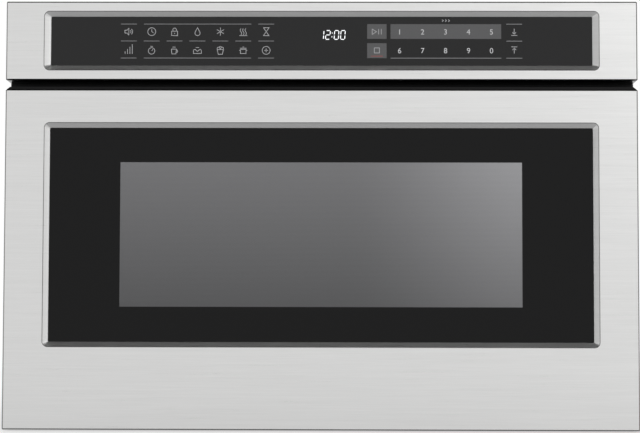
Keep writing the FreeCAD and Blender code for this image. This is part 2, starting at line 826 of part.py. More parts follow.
def tub():
    """The tray-shaped drawer that carries the dish: floor, two sides, back and a glass tray."""
    wall_high = "tub_low + tub_wall_height"
    lip_low = f"{wall_high} - tub_lip"
    under = "tub_low - tub_sheet"
    floor = new_body("tub_floor")
    plate = rectangle("-tub_halfwidth", "tub_halfwidth", CHOKE_BACK, "tub_back")
    pad(floor, "XY_Plane", plate, under, "tub_low")
    groove = rectangle(
        "-3 * tub_groove_pitch - tub_groove_width / 2", "-3 * tub_groove_pitch + tub_groove_width / 2",
        f"{CHOKE_BACK} + 30", "tub_back - 30",
    )
    first = pocket(floor, "XY_Plane", groove, f"{under} - 1", "tub_low - tub_sheet / 2")
    repeat(floor, first, "X_Axis", "tub_groove_pitch", 7)
    node("tub_floor", floor)
    for side, sign in SIDES.items():
        wall = new_body(f"tub_side_{side}")
        inner, outer = "tub_halfwidth", "tub_halfwidth + tub_sheet"
        profile = [
            (inner, under), (outer, under), (outer, lip_low), (f"{outer} + 1.2", lip_low),
            (f"{outer} + 1.2", wall_high), (f"{inner} - 2", wall_high), (f"{inner} - 2", lip_low),
            (inner, lip_low),
        ]
        if sign < 0:
            profile = [(f"-({across})", up) for across, up in profile]
        pad(wall, "XZ_Plane", polygon(*profile), CHOKE_BACK, "tub_back + tub_sheet")
        node(f"tub_side_{side}", wall)
    back = new_body("tub_rear_wall")
    sheet_up = rectangle("-tub_halfwidth", "tub_halfwidth", "tub_back", "tub_back + tub_sheet")
    pad(back, "XY_Plane", sheet_up, under, lip_low)
    lip = rectangle("-tub_halfwidth + 2", "tub_halfwidth - 2", "tub_back - 2", "tub_back + tub_sheet")
    pad(back, "XY_Plane", lip, lip_low, wall_high)
    node("tub_rear_wall", back)
    tray = new_body("glass_tray")
    half, front, back = "tub_halfwidth - tray_gap", f"{CHOKE_BACK} + tray_gap + 1", "tub_back - tray_gap"
    outline = rounded_rectangle(f"-({half})", half, front, back, "tray_corner")
    tray_top = "tub_low + tray_thickness"
    pad(tray, "XY_Plane", outline, "tub_low", tray_top)
    dish = rounded_rectangle(
        f"-({half} - tray_rim)", f"{half} - tray_rim", f"{front} + tray_rim", f"{back} - tray_rim",
        "tray_corner - 6",
    )
    pocket(tray, "XY_Plane", dish, f"{tray_top} - tray_dip", f"{tray_top} + 1")
    node("glass_tray", tray)


# ---------------------------------------------------------------------------------------------
# Telescopic slides, their supports, and the rack and pinion
# ---------------------------------------------------------------------------------------------
SLIDE_BACK = "(slide_face + slide_depth)"
SLIDE_END = "(slide_start + slide_length)"
RAIL_MIDDLE = "slide_middle_height"


def channel(web_from, web_to, lip, half_height, sheet_size):
    """Corners of a C section: the web between two places, its lips reaching to a third."""
    half_height = f"({half_height})"
    inner = f"({half_height} - {sheet_size})"
    middle = RAIL_MIDDLE
    return [
        (web_to, f"{middle} - {half_height}"), (web_to, f"{middle} + {half_height}"),
        (lip, f"{middle} + {half_height}"), (lip, f"{middle} + {inner}"),
        (web_from, f"{middle} + {inner}"), (web_from, f"{middle} - {inner}"),
        (lip, f"{middle} - {inner}"), (lip, f"{middle} - {half_height}"),
    ]


def slide_members():
    """Three nested channels a side: the cabinet's, the middle one, and the drawer's."""
    half, lip = "slide_height / 2", "slide_face + 2 * slide_sheet"
    middle_web = (f"{SLIDE_BACK} - 3 * slide_sheet", f"{SLIDE_BACK} - 2 * slide_sheet")
    members = {
        "slide_cabinet": (f"{SLIDE_BACK} - slide_sheet", SLIDE_BACK, lip, half),
        "slide_middle": (*middle_web, lip, f"{half} - 4"),
        "slide_drawer": ("slide_face + slide_sheet", "slide_face", f"{SLIDE_BACK} - 4.6", f"{half} - 8"),
    }
    for kind, (web_from, web_to, lip, half_height) in members.items():
        for side, sign in SIDES.items():
            member = new_body(f"{kind}_{side}")
            corners = channel(web_from, web_to, lip, half_height, "slide_sheet")
            if sign < 0:
                corners = [(f"-({across})", up) for across, up in corners]
            pad(member, "XZ_Plane", polygon(*corners), "slide_start", SLIDE_END)
            for place in ("slide_start + slide_hole_inset", f"{SLIDE_END} - slide_hole_inset"):
                low, high = mirrored(sign, "slide_face - 1", f"{SLIDE_BACK} + 1")
                hole = regular(place, RAIL_MIDDLE, "slide_hole_radius", 6)
                pocket(member, "YZ_Plane", hole, low, high)
            node(f"{kind}_{side}", member)


def slide_supports():
    """Angle brackets that hold the cabinet members on the base plate."""
    for side, sign in SIDES.items():
        support = new_body(f"slide_support_{side}")
        corners = [
            (SLIDE_BACK, FLOOR_TOP), (f"{SLIDE_BACK} + 14", FLOOR_TOP),
            (f"{SLIDE_BACK} + 14", f"{FLOOR_TOP} + bracket_sheet"),
            (f"{SLIDE_BACK} + bracket_sheet", f"{FLOOR_TOP} + bracket_sheet"),
            (f"{SLIDE_BACK} + bracket_sheet", f"{RAIL_MIDDLE} + slide_height / 2"),
            (SLIDE_BACK, f"{RAIL_MIDDLE} + slide_height / 2"),
        ]
        if sign < 0:
            corners = [(f"-({across})", up) for across, up in corners]
        pad(support, "XZ_Plane", polygon(*corners), "slide_start", SLIDE_END)
        low, high = mirrored(sign, f"{SLIDE_BACK} - 1", f"{SLIDE_BACK} + bracket_sheet + 1")
        relief_top = f"{RAIL_MIDDLE} - slide_height / 2 - 3"
        relief = rectangle("slide_start + 20", "slide_start + 100", f"{FLOOR_TOP} + 8", relief_top)
        opening = pocket(support, "YZ_Plane", relief, low, high)
        repeat(support, opening, "Y_Axis", "110", 4)
        node(f"slide_support_{side}", support)


def drawer_brackets():
    """Angle brackets from the door chassis to the drawer members of the slides."""
    for side, sign in SIDES.items():
        bracket = new_body(f"drawer_bracket_{side}")
        near = "slide_face - bracket_sheet"
        low, high = f"{RAIL_MIDDLE} - slide_height / 2", f"{RAIL_MIDDLE} + slide_height / 2"
        web_low, web_high = mirrored(sign, near, "slide_face")
        side_view = polygon(
            (CHASSIS_BACK, low), (f"{SLIDE_END}", low), (SLIDE_END, f"{high} - 12"),
            (f"{SLIDE_END} - 60", high), (CHASSIS_BACK, high),
        )
        pad(bracket, "YZ_Plane", side_view, web_low, web_high)
        foot = rectangle(*mirrored(sign, "slide_face - 24", "slide_face"), low, high)
        pad(bracket, "XZ_Plane", foot, CHASSIS_BACK, f"{CHASSIS_BACK} + bracket_sheet")
        relief = rectangle("slide_start + 80", "slide_start + 120", f"{high} - 14", f"{high} - 5")
        opening = pocket(bracket, "YZ_Plane", relief, f"{web_low} - 1", f"{web_high} + 1")
        repeat(bracket, opening, "Y_Axis", "70", 4)
        node(f"drawer_bracket_{side}", bracket)


PITCH_RADIUS = "(gear_pitch_step * pinion_teeth / 2)"
PINION_HEIGHT = f"(pitch_line_height - {PITCH_RADIUS})"
RACK_PITCH = "(gear_pitch_step * pi)"
GEAR_INNER = "rack_inner"
GEAR_OUTER = "(rack_inner + gear_width)"


def drive_rack():
    """The toothed bar on the right-hand bracket; its teeth point down."""
    rack = new_body("drive_rack")
    half_tooth = f"({RACK_PITCH} / 4 - tooth_backlash / 2)"
    slope = "tan(pressure_angle)"
    tip, root = "gear_pitch_step", "(1.25 * gear_pitch_step)"
    back_low = f"pitch_line_height + {root}"
    back_high = f"{back_low} + rack_back_height"
    start = f"(pinion_place - 3 * {RACK_PITCH})"
    end = f"({start} + rack_teeth * {RACK_PITCH})"
    pad(rack, "YZ_Plane", rectangle(start, end, back_low, back_high), GEAR_INNER, f"{GEAR_OUTER} + 1")
    middle = f"({start} + {RACK_PITCH} / 2)"
    tooth = polygon(
        (f"{middle} - {half_tooth} - {root} * {slope}", back_low),
        (f"{middle} + {half_tooth} + {root} * {slope}", back_low),
        (f"{middle} + {half_tooth} - {tip} * {slope}", f"pitch_line_height - {tip}"),
        (f"{middle} - {half_tooth} + {tip} * {slope}", f"pitch_line_height - {tip}"),
    )
    first = pad(rack, "YZ_Plane", tooth, GEAR_INNER, GEAR_OUTER)
    repeat(rack, first, "Y_Axis", RACK_PITCH, SIZES["rack_teeth"])
    node("drive_rack", rack)


def involute_tooth(module, teeth, pressure, backlash):
    """One tooth that points along +Y of a gear about the origin, as a face; each flank is two facets."""
    pitch_radius = module * teeth / 2
    base_radius = pitch_radius * math.cos(pressure)
    tip_radius = pitch_radius + module
    root_radius = pitch_radius - 1.25 * module
    half_thickness = (math.pi * module / 2 - backlash) / (2 * pitch_radius)
    flare = math.tan(pressure) - pressure

    def flank(radius):
        roll = math.acos(min(1, base_radius / radius))
        away = half_thickness + flare - (math.tan(roll) - roll)
        return Vector(radius * math.sin(away), radius * math.cos(away), 0)

    radii = (base_radius, (base_radius + tip_radius) / 2, tip_radius)
    right = [flank(radius) for radius in radii]
    foot = Vector(right[0]).normalize() * (root_radius - 0.2)
    right.insert(0, foot)
    left = [Vector(-point.x, point.y, 0) for point in reversed(right)]
    return Part.Face(Part.makePolygon([*right, *left, foot]))


def drive_pinion():
    """The involute pinion and its shaft, on the X axis; a tooth meets the rack's gap at the top."""
    module, teeth = value("gear_pitch_step"), SIZES["pinion_teeth"]
    width = value("gear_width - 0.5")
    tooth = involute_tooth(module, teeth, math.radians(value("pressure_angle")), value("tooth_backlash"))
    prism = tooth.extrude(Vector(0, 0, width))
    root = Part.makeCylinder(module * teeth / 2 - 1.25 * module, width)
    teeth_round = []
    for index in range(teeth):
        turned = prism.copy()
        turned.rotate(Vector(), Vector(0, 0, 1), 360 * index / teeth)
        teeth_round.append(turned)
    shaft_out = value(f"{GEAR_INNER} - {GEARBOX_FACE}") + value("shaft_depth")
    shaft = Part.makeCylinder(value("shaft_radius"), shaft_out + width / 2, Vector(0, 0, -shaft_out))
    gear = root.multiFuse([*teeth_round, shaft]).removeSplitter()
    pinion = doc.addObject("Part::Feature", "drive_pinion")
    pinion.Shape = gear
    # the gear's axis goes to +X and its first tooth, along its own +Y, to +Z
    turn = Rotation(Vector(0, 1, 0), Vector(0, 0, 1), Vector(1, 0, 0), "XYZ")
    place = Vector(value(GEAR_INNER), value("pinion_place"), value(PINION_HEIGHT))
    pinion.Placement = Placement(place, turn)
    node("drive_pinion", pinion)


def drive_unit():
    """Gearbox, motor and the bracket that holds them on the base plate."""
    middle = PINION_HEIGHT
    riser = ("riser_place", "(riser_place + riser_sheet)")
    gearbox_y = ("pinion_place - 26", "pinion_place + 34")
    box = new_body("drive_gearbox")
    side_view = clipped(*gearbox_y, f"{middle} - 24", f"{middle} + 24", "8")
    pad(box, "YZ_Plane", side_view, riser[1], GEARBOX_FACE)
    boss = regular("pinion_place", middle, "shaft_radius + 5", 8)
    pad(box, "YZ_Plane", boss, GEARBOX_FACE, f"{GEARBOX_FACE} + 1.5")
    bore = circle("pinion_place", middle, "shaft_radius + shaft_clearance")
    pocket(box, "YZ_Plane", bore, f"{GEARBOX_FACE} - shaft_depth - 0.5", f"{GEARBOX_FACE} + 3")
    node("drive_gearbox", box)

    bracket = new_body("motor_bracket")
    pad(bracket, "YZ_Plane", rectangle(*gearbox_y, FLOOR_TOP, f"{middle} + 26"), *riser)
    foot = rectangle("riser_place - motor_foot", riser[1], *gearbox_y)
    pad(bracket, "XY_Plane", foot, FLOOR_TOP, f"{FLOOR_TOP} + bracket_sheet")
    centre = ("pinion_place + 14", middle)
    pocket(bracket, "YZ_Plane", regular(*centre, "8.5", 8), f"{riser[0]} - 1", f"{riser[1]} + 1")
    node("motor_bracket", bracket)

    motor = new_body("drive_motor")
    end = "(riser_place - motor_length)"
    pad(motor, "YZ_Plane", regular(*centre, "motor_radius", 16), end, riser[0])
    pad(motor, "YZ_Plane", regular(*centre, "7", 8), riser[0], riser[1])
    pad(motor, "YZ_Plane", regular(*centre, "6", 8), f"{end} - 4", end)
    node("drive_motor", motor)


# ---------------------------------------------------------------------------------------------
# Cabinet
# ---------------------------------------------------------------------------------------------
def front_frame():
    """The black sheet that the oven is flanged to: mouth, slide slots, latch slots, screw holes.

    Its side edges are folded back into hems, which lie on the kitchen cabinet.
    """
    frame = new_body("front_frame")
    half = "flange_width / 2"
    plate = rectangle(f"-{half}", half, "flange_low", "flange_high")
    pad(frame, "XZ_Plane", plate, FLANGE_FACE, FLANGE_BACK)
    for sign in SIDES.values():
        hem = rectangle(*mirrored(sign, f"{HALF_CASE} + hem_gap", half), "flange_low", "flange_high")
        pad(frame, "XZ_Plane", hem, FLANGE_BACK, f"{FLANGE_BACK} + hem_sheet")
    through = (f"{FLANGE_FACE} - 1", f"{FLANGE_BACK} + hem_sheet + 1")
    mouth = clipped("-mouth_halfwidth", "mouth_halfwidth", "mouth_low", "mouth_high", "3")
    pocket(frame, "XZ_Plane", mouth, *through)
    for sign in SIDES.values():
        slide_slot = rectangle(*mirrored(sign, "rack_inner - 8", f"{SLIDE_BACK} + 3"),
                               "slide_slot_low", "slide_slot_high")
        pocket(frame, "XZ_Plane", slide_slot, *through)
        latch_slot = rectangle(*mirrored(sign, f"{HOOK_NEAR} - 4", f"{HOOK_FAR} + 4"),
                               f"{HOOK_LOW} - 2", f"{HOOK_HIGH} + 4")
        pocket(frame, "XZ_Plane", latch_slot, *through)
        for row in ("mount_hole_low", "mount_hole_low + mount_hole_spacing_up"):
            hole = circle(f"{sign} * mount_hole_spacing_across / 2", row, "mount_hole_radius")
            pocket(frame, "XZ_Plane", hole, *through)
    node("front_frame", frame)


def base_plate():
    """The folded base with air slots under the drive and under the transformer."""
    base = new_body("base_plate")
    outline = rectangle(f"-{INSIDE_CASE}", INSIDE_CASE, FLANGE_BACK, REAR_INSIDE)
    pad(base, "XY_Plane", outline, "skid_height", "skid_height + base_flange")
    inside = rectangle(
        f"-{INSIDE_CASE} + base_sheet", f"{INSIDE_CASE} - base_sheet",
        f"{FLANGE_BACK} + base_sheet", f"{REAR_INSIDE} - base_sheet",
    )
    pocket(base, "XY_Plane", inside, FLOOR_TOP, "skid_height + base_flange + 1")
    through = ("skid_height - 1", f"{FLOOR_TOP} + 1")
    for front, start, count in (("-250", "-180", 12), ("200", "80", 7)):
        hole = rectangle(start, f"{start} + vent_width", front, f"{front} + base_vent_length")
        first = pocket(base, "XY_Plane", hole, *through)
        repeat(base, first, "X_Axis", "base_vent_pitch", count)
    node("base_plate", base)


def base_skids():
    """Two moulded runners that the oven stands on."""
    skids = []
    for side, sign in SIDES.items():
        skid = new_body(f"base_skid_{side}")
        outline = clipped(
            *mirrored(sign, "skid_middle - skid_width / 2", "skid_middle + skid_width / 2"),
            f"{FLANGE_BACK} + 30", f"{REAR_INSIDE} - 30", "8",
        )
        pad(skid, "XY_Plane", outline, "0", "skid_height")
        skids.append(skid)
    node("base_skids", group("base_skids", *skids))


def outer_case():
    """The wrapped sheet over the sides and the top, with air slots in both sides."""
    case = new_body("outer_case")
    profile = polygon(
        (f"-{HALF_CASE}", "skid_height"), (f"-{HALF_CASE}", "case_top"), (HALF_CASE, "case_top"),
        (HALF_CASE, "skid_height"), (INSIDE_CASE, "skid_height"), (INSIDE_CASE, "case_top - case_sheet"),
        (f"-{INSIDE_CASE}", "case_top - case_sheet"), (f"-{INSIDE_CASE}", "skid_height"),
    )
    pad(case, "XZ_Plane", profile, FLANGE_BACK, REAR_INSIDE)
    side_slot = rectangle(
        "side_vent_start", "side_vent_start + vent_width", "side_vent_low", "side_vent_high",
    )
    first = pocket(case, "YZ_Plane", side_slot, f"-{HALF_CASE} - 1", f"{HALF_CASE} + 1")
    repeat(case, first, "Y_Axis", "vent_pitch", 8)
    top_slot = rectangle("-top_vent_length", "0", "top_vent_start", "top_vent_start + vent_width")
    first = pocket(case, "XY_Plane", top_slot, "case_top - case_sheet - 1", "case_top + 1")
    repeat(case, first, "Y_Axis", "vent_pitch", 8)
    half, top = value(HALF_CASE), value("case_top")
    fillet(case, "2.5", lambda edge: edge.BoundBox.YLength > 500 and abs(edge.BoundBox.ZMax - top) < 0.01
           and abs(abs(edge.BoundBox.XMax) - half) < 0.01)
    node("outer_case", case)


def rear_cover():
    """The flat back sheet: louvres for the fan, exhaust slots, the hole for the cord gland."""
    cover = new_body("rear_cover")
    outline = rectangle(f"-{HALF_CASE}", HALF_CASE, "skid_height", "case_top")
    pad(cover, "XZ_Plane", outline, REAR_INSIDE, REAR_FACE)
    through = (f"{REAR_INSIDE} - 1", f"{REAR_FACE} + 1")
    louvre_half = "louvre_width / 2"
    intake = rectangle(
        f"fan_place - {louvre_half}", f"fan_place + {louvre_half}", "fan_height - 47", "fan_height - 42",
    )
    first = pocket(cover, "XZ_Plane", intake, *through)
    repeat(cover, first, "Z_Axis", "louvre_pitch", 9)
    hood = polygon(
        (f"{REAR_INSIDE}", "fan_height - 47"), (f"{REAR_INSIDE}", "fan_height - 48.2"),
        (f"{REAR_INSIDE} - 4", "fan_height - 42.5"), (f"{REAR_INSIDE} - 4", "fan_height - 41.3"),
    )
    louvre = pad(
        cover, "YZ_Plane", hood, f"fan_place - {louvre_half} + 2", f"fan_place + {louvre_half} - 2",
    )
    repeat(cover, louvre, "Z_Axis", "louvre_pitch", 9)
    exhaust = rectangle("exhaust_place", "exhaust_place + vent_width", "exhaust_low", "exhaust_high")
    first = pocket(cover, "XZ_Plane", exhaust, *through)
    repeat(cover, first, "X_Axis", "vent_pitch", 14)
    pocket(cover, "XZ_Plane", circle(*GLAND, "11.8"), *through)
    node("rear_cover", cover)


def cord_gland():
    """The gland where the supply cord enters; a flange outside the cover, a nut inside."""
    gland = new_body("cord_gland")
    pad(gland, "XZ_Plane", regular(*GLAND, "11", 12), f"{REAR_INSIDE} - 14", REAR_FACE)
    pad(gland, "XZ_Plane", regular(*GLAND, "14", 12), REAR_FACE, f"{REAR_FACE} + screw_head")
    pad(gland, "XZ_Plane", regular(*GLAND, "15", 6), f"{REAR_INSIDE} - 6", REAR_INSIDE)
    pocket(gland, "XZ_Plane", circle(*GLAND, "gland_bore_radius"), f"{REAR_INSIDE} - 15", f"{REAR_FACE} + 3")
    node("cord_gland", gland)


def hex_head(name, centre, face):
    """The hexagon head of a sheet-metal screw that goes in along Y, standing on a face."""
    head = new_body(name)
    pad(head, "XZ_Plane", regular(*centre, "screw_head_radius", 6), face, f"{face} + screw_head")
    return head


def case_screws():
    """Hexagon-head screws round the rear cover's edge."""
    screws = []
    places = [(sign * 0.94, up) for sign in SIDES.values() for up in (20, 150, 290, 430)]
    places += [(across, up) for across in (-0.45, 0.45) for up in (9, 438)]
    for index, (across, up) in enumerate(places):
        centre = (f"{across} * {HALF_CASE}", f"{up}")
        screws.append(hex_head(f"screw_{index}", centre, REAR_FACE))
    node("case_screws", group("case_screws", *screws))


# ---------------------------------------------------------------------------------------------
# Oven cavity and its microwave feed
# ---------------------------------------------------------------------------------------------
def oven_cavity():
    """The welded oven box with its feed opening, lamp holes, air slots and a rolled front rim."""
    outside = block(
        "cavity_outside", ("-cavity_halfwidth - cavity_sheet", "cavity_halfwidth + cavity_sheet"),
        (FLANGE_BACK, "cavity_back + cavity_sheet"), ("cavity_low - cavity_sheet", CEILING_TOP),
    )
    rim = block(
        "cavity_rim", ("-mouth_halfwidth - 6", "mouth_halfwidth + 6"),
        (FLANGE_BACK, f"{FLANGE_BACK} + cavity_sheet"), ("mouth_low - 2", "mouth_high + 3"),
    )
    inside = block(
        "cavity_inside", ("-cavity_halfwidth", "cavity_halfwidth"),
        (f"{FLANGE_BACK} - 1", "cavity_back"), ("cavity_low", "cavity_high"),
    )
    feed = rod(
        "feed_opening", "z", ("0", "stirrer_place"), "chamber_radius - 12",
        "cavity_high - 1", f"{CEILING_TOP} + 1",
    )
    slots = []
    for index in range(8):
        start = f"cavity_vent_start + {index} * cavity_vent_pitch"
        slots.append(block(
            f"air_slot_{index}", ("-cavity_halfwidth - cavity_sheet - 1", "-cavity_halfwidth + 1"),
            (start, f"{start} + vent_width"), ("cavity_vent_low", "cavity_vent_high"),
        ))
    for row in range(2):
        for column in range(4):
            along, up = f"(lamp_place - 14 + {column} * 8)", f"(lamp_height - 6 + {row} * 8)"
            slots.append(block(
                f"lamp_hole_{row}_{column}", ("cavity_halfwidth - 1", "cavity_halfwidth + cavity_sheet + 1"),
                (along, f"{along} + 4"), (up, f"{up} + 4"),
            ))
    walls = fuse("cavity_walls", outside, rim)
    node("oven_cavity", cut("oven_cavity", walls, inside, feed, *slots))


def stirrer_chamber():
    """The pressed eight-sided chamber over the ceiling opening, with a flange on the ceiling."""
    chamber = new_body("stirrer_chamber")
    top = f"{CEILING_TOP} + chamber_height"

    def eight_sided(half):
        span = [f"-({half})", half, f"stirrer_place - ({half})", f"stirrer_place + {half}"]
        return clipped(*span, f"({half}) * 0.55")

    flange = eight_sided("chamber_radius + 10")
    pad(chamber, "XY_Plane", flange, CEILING_TOP, f"{CEILING_TOP} + cavity_sheet")
    pad(chamber, "XY_Plane", eight_sided("chamber_radius"), CEILING_TOP, top)
    hollow = eight_sided("chamber_radius - cavity_sheet")
    pocket(chamber, "XY_Plane", hollow, f"{CEILING_TOP} - 1", f"{top} - cavity_sheet")
    shaft_hole = regular("0", "stirrer_place", "shaft_radius + 2", 8)
    pocket(chamber, "XY_Plane", shaft_hole, f"{top} - 5", f"{top} + 1")
    window = rectangle("-waveguide_width / 2 + cavity_sheet", "waveguide_width / 2 - cavity_sheet",
                       "stirrer_place + chamber_radius / 2", "stirrer_place + chamber_radius + 10")
    pocket(chamber, "XY_Plane", window, f"{CEILING_TOP} + 2 * cavity_sheet", f"{top} - 2 * cavity_sheet")
    node("stirrer_chamber", chamber)


def stirrer_cover():
    """The sheet that closes the feed opening from below."""
    cover = new_body("stirrer_cover")
    half = "stirrer_cover_size / 2"
    outline = clipped(f"-{half}", half, f"stirrer_place - {half}", f"stirrer_place + {half}", "8")
    pad(cover, "XY_Plane", outline, "cavity_high - 1.5", "cavity_high")
    node("stirrer_cover", cover)


STIRRER_LEVEL = f"({CEILING_TOP} + 16)"


def stirrer_blade():
    """The turning mode stirrer: four bent vanes with holes, on a shaft up to its motor."""
    blade = new_body("stirrer_blade")
    pad(blade, "XY_Plane", regular("0", "0", "12", 8), "0", "1.5")
    vane = polygon(
        ("6", "-12"), ("stirrer_radius - 14", "-20"), ("stirrer_radius - 3", "-8"),
        ("stirrer_radius - 3", "8"), ("stirrer_radius - 14", "20"), ("6", "12"),
    )
    first = pad(blade, "XY_Plane", vane, "0", "1.5")
    repeat_round(blade, first, "Z_Axis", 4)
    ends = rectangle("stirrer_radius - 17", "stirrer_radius - 15.5", "-18", "18")
    fold = pad(blade, "XY_Plane", ends, "1.5", "12")
    repeat_round(blade, fold, "Z_Axis", 4)
    hole = pocket(blade, "XY_Plane", regular("stirrer_radius / 2", "0", "7", 8), "-1", "3")
    repeat_round(blade, hole, "Z_Axis", 4)
    shaft_top = "chamber_height - 16 + 12"
    pad(blade, "XY_Plane", circle("0", "0", "shaft_radius"), "0", shaft_top)
    bind(blade, "Placement.Base.y", "stirrer_place")
    bind(blade, "Placement.Base.z", STIRRER_LEVEL)
    node("stirrer_blade", blade)


def stirrer_motor():
    """The flat synchronous motor on the chamber's top, with two ears."""
    motor = new_body("stirrer_motor")
    low = f"({CEILING_TOP} + chamber_height)"
    place = ("0", "stirrer_place")
    pad(motor, "XY_Plane", regular(*place, "25", 16), low, f"{low} + 18")
    ears = clipped("-35", "35", "stirrer_place - 7", "stirrer_place + 7", "4")
    pad(motor, "XY_Plane", ears, low, f"{low} + 1")
    pocket(motor, "XY_Plane", circle(*place, "shaft_radius + shaft_clearance"), f"{low} - 1", f"{low} + 13")
    terminals = rectangle("-12", "12", "stirrer_place + 22", "stirrer_place + 32")
    pad(motor, "XY_Plane", terminals, f"{low} + 4", f"{low} + 14")
    node("stirrer_motor", motor)


WAVEGUIDE_LOW = f"({CEILING_TOP} + cavity_sheet)"
WAVEGUIDE_TOP = f"({WAVEGUIDE_LOW} + waveguide_height)"


def waveguide():
    """The rectangular duct from the magnetron to the stirrer chamber."""
    half = "waveguide_width / 2"
    start = "(stirrer_place + chamber_radius + 10)"
    duct = block("duct", (f"-{half}", half), (start, "waveguide_end"), (WAVEGUIDE_LOW, WAVEGUIDE_TOP))
    hollow = block(
        "duct_hollow", (f"-{half} + cavity_sheet", f"{half} - cavity_sheet"),
        (f"{start} - 1", "waveguide_end - cavity_sheet"),
        (f"{WAVEGUIDE_LOW} + cavity_sheet", f"{WAVEGUIDE_TOP} - cavity_sheet"),
    )
    antenna_hole = block(
        "antenna_hole", ("-17", "17"), ("magnetron_place - 17", "magnetron_place + 17"),
        (f"{WAVEGUIDE_TOP} - 4", f"{WAVEGUIDE_TOP} + 1"),
    )
    flange = block(
        "duct_flange", (f"-{half} - 8", f"{half} + 8"), (start, "waveguide_end + 6"),
        (f"{WAVEGUIDE_LOW}", f"{WAVEGUIDE_LOW} + cavity_sheet"),
    )
    sheets = fuse("duct_sheets", duct, flange)
    node("waveguide", cut("waveguide", sheets, fuse("duct_cuts", hollow, antenna_hole)))


def magnetron():
    """Yoke, stack of cooling fins, filter box and antenna."""
    low, high = WAVEGUIDE_TOP, f"({WAVEGUIDE_TOP} + magnetron_height)"
    half = "magnetron_width / 2"
    near, far = "magnetron_place - magnetron_depth / 2", "magnetron_place + magnetron_depth / 2"
    plate = block("yoke_low", (f"-{half}", half), (near, far), (low, f"{low} + 2"))
    top = block("yoke_top", (f"-{half}", half), (near, far), (f"{high} - 2", high))
    walls = [
        block("yoke_left", (f"-{half}", f"-{half} + 2"), (near, far), (low, high)),
        block("yoke_right", (f"{half} - 2", half), (near, far), (low, high)),
    ]
    place = ("0", "magnetron_place")
    anode = new_body("anode")
    pad(anode, "XY_Plane", regular(*place, "20", 8), low, high)
    antenna = rod("antenna", "z", place, "7", f"{low} - 22", low)
    ring = new_body("antenna_base")
    pad(ring, "XY_Plane", regular(*place, "15.5", 8), f"{low} - 1.2", low)
    filter_box = block("filter_box", ("-30", "30"), (near, far), (high, f"{high} + 20"))
    fins = []
    for index in range(SIZES["magnetron_fin_count"]):
        level = f"({low} + 7 + {index} * magnetron_fin_pitch)"
        span = (f"{near} + 4", f"{far} - 4")
        fins.append(block(f"fin_{index}", (f"-{half}", half), span, (level, f"{level} + 0.8")))
    node("magnetron", fuse("magnetron", plate, top, *walls, anode, antenna, ring, filter_box, *fins))


def oven_lamp():
    """Lamp in its bracket, outside the cavity's right wall."""
    wall = "(cavity_halfwidth + cavity_sheet)"
    holder = new_body("oven_lamp")
    pad(holder, "YZ_Plane", around(LAMP, "22", "18"), wall, f"{wall} + 22")
    pocket(holder, "YZ_Plane", around(LAMP, "20", "16"), f"{wall} - 1", f"{wall} + 20")
    pad(holder, "YZ_Plane", regular(*LAMP, "9", 12), f"{wall} + 6", f"{wall} + 44")
    node("oven_lamp", holder)


def thermal_cutout():
    """Snap disc on the ceiling, with its two terminals."""
    cutout = new_body("thermal_cutout")
    across, along = "cutout_across", "cutout_along"
    flange = clipped(f"{across} - 16", f"{across} + 16", f"{along} - 7", f"{along} + 7", "5")
    pad(cutout, "XY_Plane", flange, CEILING_TOP, f"{CEILING_TOP} + 1")
    disc_top = f"{CEILING_TOP} + 9"
    pad(cutout, "XY_Plane", regular(across, along, "8", 12), CEILING_TOP, disc_top)
    for side in ("-", "+"):
        tab = around((f"{across} {side} 4.75", along), "1.25", "1")
        pad(cutout, "XY_Plane", tab, disc_top, f"{disc_top} + 9")
    node("thermal_cutout", cutout)


def exhaust_duct():
    """The moulded duct that leads the cavity's air from the left wall to the rear."""
    wall = "-cavity_halfwidth - cavity_sheet"
    start, low, high = "(cavity_vent_start - 12)", "(cavity_vent_low - 10)", "(cavity_vent_high + 10)"
    up = (f"{low} + duct_wall", f"{high} - duct_wall")
    far_side = f"{wall} - duct_depth + duct_wall"
    outside = block("duct_outside", (f"{wall} - duct_depth", wall), (start, "duct_end"), (low, high))
    inside = block("duct_inside", (far_side, f"{wall} + 1"), (f"{start} + duct_wall", "cavity_back - 6"), up)
    outlet = block("duct_outlet", (far_side, f"{wall} - duct_wall"), ("cavity_back - 18", "duct_end + 1"), up)
    node("exhaust_duct", cut("exhaust_duct", outside, fuse("duct_space", inside, outlet)))


# ---------------------------------------------------------------------------------------------
# Power and cooling
# ---------------------------------------------------------------------------------------------
def power_transformer():
    """Laminated core on feet, its windings as a separate piece in the core's windows."""
    core = new_body("power_transformer")
    base = FLOOR_TOP
    left, right = "transformer_place - transformer_width / 2", "transformer_place + transformer_width / 2"
    near, far = "transformer_start", "(transformer_start + transformer_depth)"
    pad(core, "XZ_Plane", rectangle(left, right, base, f"{base} + transformer_height"), near, far)
    feet = rectangle(f"{left} - 8", f"{right} + 8", base, f"{base} + 3")
    pad(core, "XZ_Plane", feet, f"{near} + 4", f"{far} - 4")
    for side in ("-", "+"):
        window = around((f"transformer_place {side} 26", f"{base} + 42"), "10", "26")
        pocket(core, "XZ_Plane", window, f"{near} - 1", f"{far} + 1")
    coils = new_body("transformer_coils")
    outline = clipped(
        "transformer_place - 35.5", "transformer_place + 35.5", f"{near} - 19", f"{far} + 19", "9",
    )
    for low, high in ((f"{base} + 17", f"{base} + 39"), (f"{base} + 42", f"{base} + 67")):
        pad(coils, "XY_Plane", outline, low, high)
    limb = rectangle(
        "transformer_place - 16.2", "transformer_place + 16.2", f"{near} - 0.2", f"{far} + 0.2",
    )
    pocket(coils, "XY_Plane", limb, f"{base} + 10", f"{base} + 75")
    node("power_transformer", group("power_transformer", core, coils))


CAPACITOR = ("capacitor_across", "capacitor_along")


